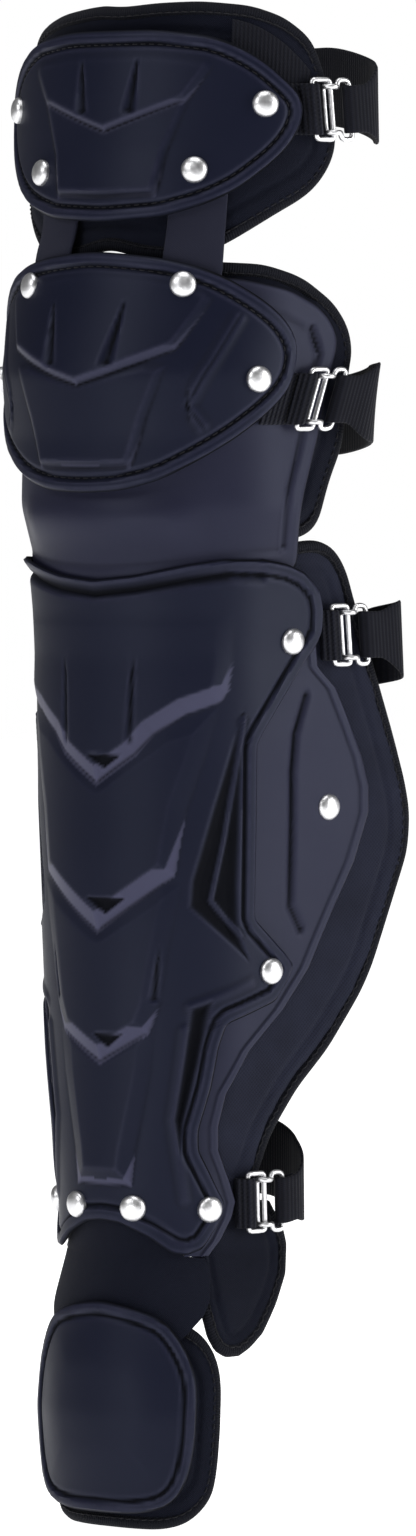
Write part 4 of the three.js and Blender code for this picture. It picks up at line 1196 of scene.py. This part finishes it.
def pad(name, place, loop, grid, thickness, node, finish=PAD_CLOTH, rim_thickness=4.0, seam=12.0,
        voxel=3.4):
    start = PAD_FRONT - 0.9
    piece = bent_grid(name, *grid, lambda u, v: wrap(*place(u, v), start))
    apply_modifier(piece, "SOLIDIFY", thickness=0.004, offset=-1)
    along, height, out = unwrap(mesh_points(piece))
    inner = out < start - 2
    distance = np.maximum(loop_distance(loop, along, height), 0)
    back = start - pad_thickness(distance, rim_thickness - 0.4, thickness - 2)
    set_points(piece, wrap(along, height, np.where(inner, back, out)))
    select_only(piece)
    piece.data.remesh_voxel_size = voxel / 1000
    bpy.ops.object.voxel_remesh()
    blow_up(piece)
    apply_modifier(piece, "SUBSURF", levels=1, render_levels=1)
    along, height, out = unwrap(mesh_points(piece))
    distance = loop_distance(loop, along, height)
    front = out > start - 0.5 * rim_thickness
    groove = 1.1 * np.exp(-((distance - seam) / 1.3) ** 2) if seam else 0
    puff = 0
    out = np.where(front, np.minimum(out + puff, PAD_FRONT + 0.6) - groove, out)
    set_points(piece, wrap(along, height, out))
    piece.data.materials.clear()
    piece.data.materials.append(finish)
    flat_cloth(piece)
    smooth(piece, 60)
    settle(piece, "root", "pad_fabric", node)
    print(name, "faces:", len(piece.data.polygons))
    return piece


def flat_cloth(piece):
    """The cloth's own pattern coordinates, in millimetres, from where each point lies."""
    mesh = piece.data
    along, height, _ = unwrap(mesh_points(piece))
    while mesh.uv_layers:
        mesh.uv_layers.remove(mesh.uv_layers[0])
    layer = mesh.uv_layers.new(name="UVMap")
    loops = np.empty(len(mesh.loops), int)
    mesh.loops.foreach_get("vertex_index", loops)
    layer.data.foreach_set("uv", np.stack([along, height], -1)[loops].ravel())


print("front of the pads, mm from the form:", PAD_FRONT)

# %% [markdown]
# ## The binding
# Binding tape is folded over a pad's edge to close it. It's swept round the edge with a section
# as thick as the edge, and a line of stitches follows it.

# %% Binding
def bind(name, loop, rim_thickness=4.0):
    """Ribbed tape folded over the pad's edge, and the thread that holds it."""
    line = even_loop(inset_loop(loop, 2.2), 2.0)
    section = rounded_section(3.1, rim_thickness / 2 + 0.9, 3)
    middle = PAD_FRONT - rim_thickness / 2 - 0.1
    tape = tape_on_pattern(name + "_binding", line, middle, section, TAPE)
    sewn = even_loop(inset_loop(loop, 3.9), 0.7)
    run = stitched_thread(name + "_thread", sewn, PAD_FRONT + 0.75)
    for piece in (tape, run):
        settle(piece, "root", "pad_fabric")


print("cloth solver:", f"{CLOTH_FRAMES} frames")

# %% [markdown]
# ## Thigh, knee, shin and toe pads
# Four pads lie behind the plates and stand out past them all round. Their outlines were measured
# in the photograph where they show, and run on smoothly where a plate hides them.

# %% The four pads
PAD_CUTS = {
    "thigh_pad": Outline(
        bottom=[(0, 586), (8, 584.3), (18, 581.9), (32, 580.8), (46, 581), (64, 589.5),
                (86, 602), (100, 609)],
        side=[(108, 616), (114, 626), (115, 633), (114, 640), (109, 656), (104, 668)],
        top=[(98, 679), (84, 688), (67, 693), (42, 695), (20, 694.5), (0, 693)]),
    "knee_pad": Outline(
        bottom=[(0, 451), (60, 453), (112, 456)],
        side=[(121, 462), (128, 482), (135, 496), (139, 515), (142, 538), (137, 550)],
        top=[(126, 561), (106, 572), (82, 577.5), (40, 579), (0, 579.8)], by_height=0.4),
    "shin_pad": Outline(
        bottom=[(0, 155), (40, 154.5), (76, 155)],
        side=[(84, 165), (91, 184), (106, 205), (124, 223), (143, 247), (150, 259), (161, 285),
              (171, 311), (172, 328), (169, 343), (162, 365), (156, 382), (140, 427), (136, 441)],
        top=[(129, 451), (120, 454), (60, 447.5), (0, 446.5)], by_height=0.4),
    "toe_pad": Outline(
        bottom=[(0, 9), (30, 8.5), (43, 10.5), (51, 15)],
        side=[(59, 23), (62, 37), (64, 56), (64, 72), (62, 82)],
        top=[(56, 92), (46, 99), (30, 103), (0, 104)], by_height=0.3),
}
PAD_THICK = 9.5
TOP_LEAN = {"thigh_pad": 0.12}  # how much the top falls towards the inner side of the leg


def leaning(lean, along, height):
    return along, height - lean * np.maximum(-12 - along, 0) * ease((height - 630) / 45)


PAD_GRIDS = {"thigh_pad": (60, 30), "knee_pad": (70, 34), "shin_pad": (80, 76), "toe_pad": (36, 28)}
for node, cut in PAD_CUTS.items():
    lean = TOP_LEAN.get(node, 0)
    loop = np.stack(leaning(lean, *cut.loop(step=2.0).T), -1)
    cloth = MESH_CLOTH if node == "shin_pad" else PAD_CLOTH
    pad("soft_" + node, lambda u, v: leaning(lean, *cut.place(u, v)), loop, PAD_GRIDS[node],
        PAD_THICK, node, finish=cloth)
    bind("soft_" + node, loop)

# %% [markdown]
# ## Ankle pads
# A round lobe hangs beside each ankle under the shin pad. It is thinner than the other pads.

# %% Ankle pads
ANKLE_EDGES = np.array([
    # height, inner, outer
    (86, 67, 75), (89, 61, 81), (95, 56.5, 88), (108, 51.5, 95.5), (120, 49, 101),
    (133, 47.7, 102), (140, 47, 100), (153, 46, 92),
])


def ankle_place(side, u, v):
    low, high = ANKLE_EDGES[[0, -1], 0]
    height = low + v * (high - low)
    share = u if side > 0 else 1 - u
    inner, outer = (np.interp(height, ANKLE_EDGES[:, 0], ANKLE_EDGES[:, i]) for i in (1, 2))
    return side * (inner + share * (outer - inner)), height


for side, where in ((-1, "left"), (1, "right")):
    low_to_high = [(side * outer, height) for height, _, outer in ANKLE_EDGES]
    high_to_low = [(side * inner, height) for height, inner, _ in ANKLE_EDGES[::-1]]
    loop = even_loop(np.array((low_to_high + high_to_low)[::side], float), 2.0)
    pad(f"soft_ankle_{where}", lambda u, v: ankle_place(side, u, v), loop, (26, 32), 6.5,
        f"ankle_pad_{where}", rim_thickness=4.0, seam=9.0, voxel=3.0)
    bind(f"soft_ankle_{where}", loop)

# %% [markdown]
# ## Instep flap
# A padded tongue joins the toe plate to the foot of the shin plate. Most of it is hidden behind
# them.

# %% Instep flap
FLAP_EDGES = np.array([
    # height, half width
    (94, 40), (105, 51), (112, 54), (124, 54), (130.6, 51), (131.2, 39.3), (138, 40.2),
    (146, 40), (161, 32),
])


def flap_place(u, v):
    low, high = FLAP_EDGES[[0, -1], 0]
    height = low + v * (high - low)
    return (2 * u - 1) * np.interp(height, FLAP_EDGES[:, 0], FLAP_EDGES[:, 1]), height


flap = bent_grid("soft_instep_flap", 60, 46,
                 lambda u, v: wrap(*flap_place(u, v), CAD["second_out"]), flat=flap_place)
apply_modifier(flap, "SOLIDIFY", thickness=0.003, offset=-1)
apply_modifier(flap, "BEVEL", width=0.001, segments=3, limit_method="ANGLE",
               angle_limit=math.radians(60))
flap.data.materials.append(PAD_CLOTH)
smooth(flap, 60)
settle(flap, "root", "pad_fabric", "instep_flap")
print("instep flap faces:", len(flap.data.polygons))

# %% [markdown]
# ## Rivets
# Domed rivets hold the plates on the pads. One dome is modelled from a disc: its rim is extruded
# and shrunk, ring by ring, into a cap. Then a copy of the mesh is turned onto each place.

# %% One rivet
RIVET_RINGS = [
    # radius after the step, rise of the step, in millimetres
    (6.0, 1.3), (5.9, 0.5), (5.3, 0.9), (4.3, 0.75), (3.0, 0.5), (1.5, 0.3),
]
RIVETS = [
    # name, along left, along right, height, seat
    ("thigh_low", 41.0, 44.0, 620.1, 0.0), ("thigh_side", 74.4, 74.4, 649.5, 0.0),
    ("knee_top", 39.0, 43.0, 568.5, 3.2), ("knee_side", 81.6, 81.6, 527.0, 3.2),
    ("shin_top", 96.9, 96.9, 408.9, 0.0), ("wing", 120.1, 120.1, 333.0, -4.2),
    ("shin_lug", 84.0, 84.0, 260.1, 0.0), ("foot_side", 51.0, 51.0, 153.0, 0.0),
    ("foot_mid", 15.5, 15.5, 154.0, 0.0),
]


def rivet_dome():
    bpy.ops.object.select_all(action="DESELECT")
    bpy.ops.mesh.primitive_circle_add(vertices=28, radius=0.006, fill_type="NGON",
                                      location=(0, 0, -0.0004))
    dome = bpy.context.object
    bpy.ops.object.transform_apply(location=True)
    bpy.ops.object.mode_set(mode="EDIT")
    bpy.ops.mesh.select_all(action="SELECT")
    radius = 6.0
    for wide, rise in RIVET_RINGS:
        bpy.ops.mesh.extrude_region_move(TRANSFORM_OT_translate={"value": (0, 0, rise / 1000)})
        bpy.ops.transform.resize(value=(wide / radius, wide / radius, 1))
        radius = wide
    bpy.ops.mesh.select_all(action="SELECT")
    bpy.ops.mesh.normals_make_consistent(inside=False)
    bpy.ops.object.mode_set(mode="OBJECT")
    dome.data.materials.append(NICKEL)
    return smooth(dome, 50)


dome = rivet_dome()
print("rivet dome faces:", len(dome.data.polygons))

# %% [markdown]
# ## Placing the rivets
# Each copy stands square on the leg form, which is where its plate lies, so its turn comes from
# the form's normal at its place.

# %% The copies
def form_normal(along, height):
    round_way = wrap(along + 1, height, 0) - wrap(along - 1, height, 0)
    up_way = wrap(along, height + 1, 0) - wrap(along, height - 1, 0)
    normal = np.cross(round_way, up_way)
    return Vector(normal / np.linalg.norm(normal))


for name, left, right_place, height, seat in RIVETS:
    for along, where in ((-left, "left"), (right_place, "right")):
        rivet = bpy.data.objects.new(f"dome_{name}_{where}", dome.data.copy())
        bpy.context.scene.collection.objects.link(rivet)
        normal = form_normal(along, height)
        turn = Vector((0, 0, 1)).rotation_difference(normal).to_matrix().to_4x4()
        turn.translation = Vector(wrap(along, height, 0)) + normal * (seat / 1000)
        rivet.data.transform(turn)
        settle(rivet, "root", "nickel", f"rivet_{name}_{where}")
bpy.data.objects.remove(dome)
print("rivets:", 2 * len(RIVETS))

# %% [markdown]
# ## Bands: hinge straps, tabs and elastics
# A strap is flat webbing, so it is modelled directly as a band: a centre line of `run` and `out`,
# a thickness and a width. A place function lays the band on the leg, and the fold round a bar is
# only part of its line.

# %% Band maker
def smooth_line(points, times=3, closed=False):
    """Round the corners of a line by cutting them again and again."""
    points = np.array(points, float)
    for _ in range(times):
        following = np.roll(points, -1, axis=0) if closed else points[1:]
        base = points if closed else points[:-1]
        cut = np.stack([0.75 * base + 0.25 * following, 0.25 * base + 0.75 * following], 1)
        cut = cut.reshape(-1, points.shape[1])
        points = cut if closed else np.vstack([points[:1], cut, points[-1:]])
    return points


def even_line(points, step):
    lengths = np.concatenate([[0], np.cumsum(np.linalg.norm(np.diff(points, axis=0), axis=1))])
    spots = np.linspace(0, lengths[-1], max(4, round(lengths[-1] / step)))
    columns = [np.interp(spots, lengths, column) for column in points.T]
    return np.stack(columns, -1), spots


def band(name, stations, thickness, width, place, finish, step=1.6):
    line, lengths = even_line(smooth_line(stations, 2), step)
    run = np.gradient(line, axis=0)
    normal = np.stack([-run[:, 1], run[:, 0]], -1) / np.hypot(*run.T)[:, None]
    section = rounded_section(width / 2, thickness / 2, 2)
    wide = np.linspace(1, -1, 9)[1:-1] * (width / 2 - thickness / 2)
    top = np.stack([wide, np.full(7, thickness / 2)], -1)
    section = np.vstack([section[:3], top, section[3:9], -top, section[9:]])

    def at(row, point):
        spot = line[row] + normal[row] * point[:, 1:]
        return place(spot[:, 0], spot[:, 1], point[:, 0])

    return swept(name, len(line), section, at, finish, False, lengths)


bent_line = even_line(smooth_line([(0, 0), (10, 0), (10, 10)]), 5)[0]
print("a bent line of 20 mm in 5 mm steps, points:", len(bent_line))

# %% [markdown]
# ## Hinge straps
# Two flat straps join the knee cap to the thigh plate, so that the guard can bend at the knee.
# They lie inside the cap, cross the gap in plain sight and go on under the thigh plate.

# %% Hinge straps
HINGE_WIDE, HINGE_THICK = 28.0, 2.0
HINGE_LINE = [
    # height, out
    (556.4, -2), (570, -2), (582, -2), (593.5, -5.2), (606, -5.2), (631.5, -5.2),
]
for side, where, centre in ((-1, "left", 1.143 * HINGE_WIDE), (1, "right", 1.643 * HINGE_WIDE)):
    hinge = band(f"hinge_band_{where}", HINGE_LINE, HINGE_THICK, HINGE_WIDE,
                 lambda run, out, aside: wrap(side * centre - aside, run, out), HINGE_PAINTED_LIGHTER, step=2.5)
    settle(hinge, "root", "hinge_webbing", f"hinge_strap_{where}")
    print(hinge.name, "faces:", len(hinge.data.polygons))

# %% [markdown]
# ## Hardware of the four leg straps
# Each strap starts as a short webbing tab that folds round a wire ring. A wire hook clips into
# the ring, and the elastic is folded round the hook's far bar. All of it is measured from the
# ring's front bar: `run` goes towards the back of the leg, `aside` along the leg and `out` away
# from it.

# %% Strap places
STRAPS = {
    "thigh": dict(height=647.5, root=81.8, ring=99.0, under=-8.4, lean=-0.15, straight=3.5,
                  sewn=117.3, behind=77.6, rise_back=14.0, rise_end=3.6),
    "knee": dict(height=518.0, root=88.0, ring=107.0, under=-4.2, lean=0.40, straight=9.9,
                 sewn=150.6, behind=78.5, rise_back=-7.9, rise_end=-4.0),
    "calf": dict(height=411.1, root=118.6, ring=123.5, under=-8.4, lean=-0.05, straight=12.0,
                 sewn=165.1, behind=71.7, rise_back=-15.8, rise_end=-11.9),
    "ankle": dict(height=154.0, root=70.4, ring=75.5, under=-8.4, lean=-0.05, straight=1.0,
                  sewn=91.8, behind=46.9, rise_back=15.1, rise_end=11.9),
}
LAYER_GAP, WIRE_THICK, WIRE_GAP = 1.2, 2.4, 0.6
TAB_WIDE, TAB_THICK, ELASTIC_WIDE, ELASTIC_THICK = 23.0, 1.6, 36.0, 1.8
TAB_FOLD, TAB_EYE, ELASTIC_FOLD, ELASTIC_EYE = 2.81, 3.61, 2.92, 3.82
RING_DEEP, RING_HALF, HOOK_HALF, HOOK_END_HALF = 9.4, 13.3, 10.3, 13.3
HOOK_LONG, HOOK_RISE, CROOK = 19.4, 0.98, 3.28
SETTLE, SEWN_LONG = 22.0, 18.0


print("strap heights, mm:", [strap["height"] for strap in STRAPS.values()])

# %% [markdown]
# ## Bent wire
# Rings and hooks are closed loops of wire. The section is carried from point to point without
# twisting, and the small twist left over at the end is shared out along the whole loop, so that
# it closes.

# %% The ring's frame, and wire
def hardware_point(strap, run, aside, out):
    run, aside, out = np.broadcast_arrays(*(np.asarray(a, float) for a in (run, aside, out)))
    along = strap["ring"] + run + strap["lean"] * aside
    level = strap["under"] + LAYER_GAP + TAB_EYE + out
    low = wrap(along, strap["height"] - RING_HALF, level)
    high = wrap(along, strap["height"] + RING_HALF, level)
    share = ((aside / RING_HALF + 1) / 2)[..., None]
    return low + (high - low) * share


def arc(radius, degrees):
    turns = [math.radians(d) for d in degrees]
    return [(radius * math.cos(turn), radius * math.sin(turn)) for turn in turns]


def wire(name, points, node):
    """A closed bent wire through points in metres, its section carried along without twisting."""
    twice_round = np.vstack([smooth_line(points, 3, closed=True)] * 2)
    line = even_line(twice_round[:len(points) * 8 + 1], 0.0007)[0][:-1]
    tangent = np.roll(line, -1, axis=0) - np.roll(line, 1, axis=0)
    tangent /= np.linalg.norm(tangent, axis=1, keepdims=True)
    across = np.cross(tangent[0], [0.3, 0.2, 0.9])
    frames = []
    for along_wire in [*tangent, tangent[0]]:
        across = across - along_wire * (across @ along_wire)
        across /= np.linalg.norm(across)
        frames.append(across)
    first, last = frames[0], frames.pop()
    twist = math.atan2(np.cross(last, first) @ tangent[0], last @ first)
    frames = np.array(frames)
    second = np.cross(tangent, frames)
    spins = np.linspace(0, twist, len(line), endpoint=False)[:, None]
    frames, second = (frames * np.cos(spins) + second * np.sin(spins),
                      second * np.cos(spins) - frames * np.sin(spins))
    turns = np.linspace(0, 2 * math.pi, 10, endpoint=False)
    section = np.stack([np.cos(turns), np.sin(turns)], -1) * (WIRE_THICK / 2000)

    def at(row, point):
        return line[row] + frames[row] * point[:, :1] + second[row] * point[:, 1:]

    piece = swept(name, len(line), section, at, NICKEL, True, np.arange(len(line) + 1) * 0.7)
    return settle(piece, "root", "nickel", node)


print("a quarter turn of 2 mm, 45 degrees a step:", np.round(arc(2, range(0, 91, 45)), 2).tolist())

# %% [markdown]
# ## Tabs, rings and hooks
# The ring is a rounded rectangle of wire. The hook is bent from one wire too: a crook that goes
# round the ring's rear bar and two arms that open towards a bar for the elastic.

# %% Tabs, rings and hooks
for name, strap in STRAPS.items():
    place = lambda run, out, aside: hardware_point(strap, run, aside, out)
    length = strap["ring"] - strap["root"]
    stations = [(-length, -TAB_FOLD), (-0.6 * length, -TAB_FOLD),
                *arc(TAB_FOLD, range(-90, 121, 15)), (-1.9 * TAB_FOLD, TAB_THICK + 0.3 - TAB_FOLD)]
    tab = band(f"{name}_webbing_tab", stations, TAB_THICK, TAB_WIDE, place, WEBBING, step=0.8)
    settle(tab, "root", "webbing", f"{name}_tab")
    corner = 2.4
    nearly = 0.1 * corner
    upper = [(0, 2), (0, RING_HALF - corner), (nearly, RING_HALF - nearly), (corner, RING_HALF),
             (RING_DEEP - corner, RING_HALF), (RING_DEEP - nearly, RING_HALF - nearly),
             (RING_DEEP, RING_HALF - corner), (RING_DEEP, 2)]
    ring = [*upper, *[(run, -aside) for run, aside in reversed(upper)]]
    wire(f"{name}_wire_ring", [place(run, 0, aside) for run, aside in ring], f"{name}_ring")
    crook = [(RING_DEEP + run, out) for run, out in arc(CROOK, range(212, 19, -24))]
    arms = [(crook[0][0], 2, crook[0][1]), (crook[0][0], HOOK_HALF - 0.8, crook[0][1]),
            *[(run, HOOK_HALF, out) for run, out in crook[1:]],
            (HOOK_LONG - ELASTIC_EYE - WIRE_THICK, HOOK_END_HALF, HOOK_RISE),
            (HOOK_LONG - 1.6, HOOK_END_HALF, HOOK_RISE),
            (HOOK_LONG, HOOK_END_HALF - 1.6, HOOK_RISE), (HOOK_LONG, 2, HOOK_RISE)]
    hook = [*arms, *[(run, -aside, out) for run, aside, out in reversed(arms)]]
    wire(f"{name}_wire_hook", [hardware_point(strap, *spot) for spot in hook], f"{name}_hook")
    print(name, "tab, mm:", round(length, 1))

# %% [markdown]
# ## A webbing patch on the thigh pad
# The thigh strap's webbing is sewn across the top corner of the pad, where a ribbed piece of it
# shows between the plate and the binding.

# %% Webbing patch
PATCH_WIDE, PATCH_THICK = 17.0, 1.2


def patch_place(run, out, aside):
    return wrap(run, 679.5 - 0.011 * (run - 52) ** 2 + aside, out)


patch = band("thigh_pad_patch", [(58, -7.4), (78, -7.4), (98, -7.4)], PATCH_THICK, PATCH_WIDE,
             patch_place, ELASTIC, step=1.5)
settle(patch, "root", "webbing")
print("patch faces:", len(patch.data.polygons))

# %% [markdown]
# ## Elastics
# The elastic leaves its hook, widens to its full width, goes round the back of the leg and is
# sewn on the far pad. Its line is blended from three stretches: along the hardware, round the
# leg, and along the pad.

# %% The line of an elastic
def soft_step(value, low, high):
    return ease((value - low) / (high - low))


def elastic_path(strap):
    far_out = PAD_FRONT + 0.6 + ELASTIC_THICK / 2
    near_out = strap["under"] + LAYER_GAP + TAB_EYE + HOOK_RISE
    leaving = wrap(strap["ring"] + HOOK_LONG + strap["straight"], strap["height"], near_out) * 1000
    landing = wrap(-strap["sewn"], strap["height"], far_out) * 1000
    turn_start = math.atan2(leaving[0], -leaving[1])
    turn_end = 2 * math.pi + math.atan2(landing[0], -landing[1])
    radius_start, radius_end = math.hypot(*leaving[:2]), math.hypot(*landing[:2])
    near_end = strap["straight"]
    free = (turn_end - turn_start) * (radius_start + 2 * strap["behind"] + radius_end) / 4

    def place(run, out, aside):
        part = (run - near_end) / free
        end_half = HOOK_END_HALF - 1.5 - 2 * WIRE_GAP
        half = end_half + (ELASTIC_WIDE / 2 - end_half) * soft_step(run, ELASTIC_EYE, SETTLE)
        tall = aside / (ELASTIC_WIDE / 2) * half
        back = strap["rise_back"] * soft_step(part, -0.05, 0.35)
        rise = back + (strap["rise_end"] - back) * soft_step(part, 0.6, 0.95)
        height = strap["height"] + tall + rise
        near = hardware_point(strap, HOOK_LONG + run, tall, HOOK_RISE + out)
        near[:, 2] += rise / 1000
        share = np.clip(part, 0, 1)
        angle = turn_start + (turn_end - turn_start) * share
        to_back = radius_start + (strap["behind"] - radius_start) * soft_step(share, 0, 0.35)
        radius = to_back + (radius_end - to_back) * soft_step(share, 0.65, 1) + out
        round_leg = np.stack([radius * np.sin(angle), -radius * np.cos(angle),
                              height - LEG_MIDDLE], -1) / 1000
        landed = run - near_end - free
        on_pad = wrap(-(strap["sewn"] - landed), height, far_out + out)
        near_weight = (1 - soft_step(run, near_end, near_end + SETTLE))[:, None]
        end_weight = soft_step(landed, -SETTLE, 0)[:, None]
        mixed = round_leg + (near - round_leg) * near_weight
        return mixed + (on_pad - mixed) * end_weight

    return place, near_end + free + SEWN_LONG


print("lengths, mm:", {name: round(elastic_path(strap)[1]) for name, strap in STRAPS.items()})

# %% [markdown]
# ## The four elastics
# The front end of each elastic is folded round the far bar of its hook, and the fold is simply
# the first part of the band's line.

# %% Elastics
for name, strap in STRAPS.items():
    place, length = elastic_path(strap)
    runs = np.linspace(6, length, 60)
    stations = [(1.9 * ELASTIC_FOLD, ELASTIC_FOLD - ELASTIC_THICK - 0.3),
                *arc(ELASTIC_FOLD, range(-60, -271, -15)),
                *[(run, ELASTIC_FOLD * (1 - soft_step(run, SETTLE, 3 * SETTLE))) for run in runs]]
    elastic = band(f"{name}_elastic", stations, ELASTIC_THICK, ELASTIC_WIDE, place, ELASTIC,
                   step=1.2)
    settle(elastic, "root", "webbing", f"{name}_strap")
    print(elastic.name, "faces:", len(elastic.data.polygons))
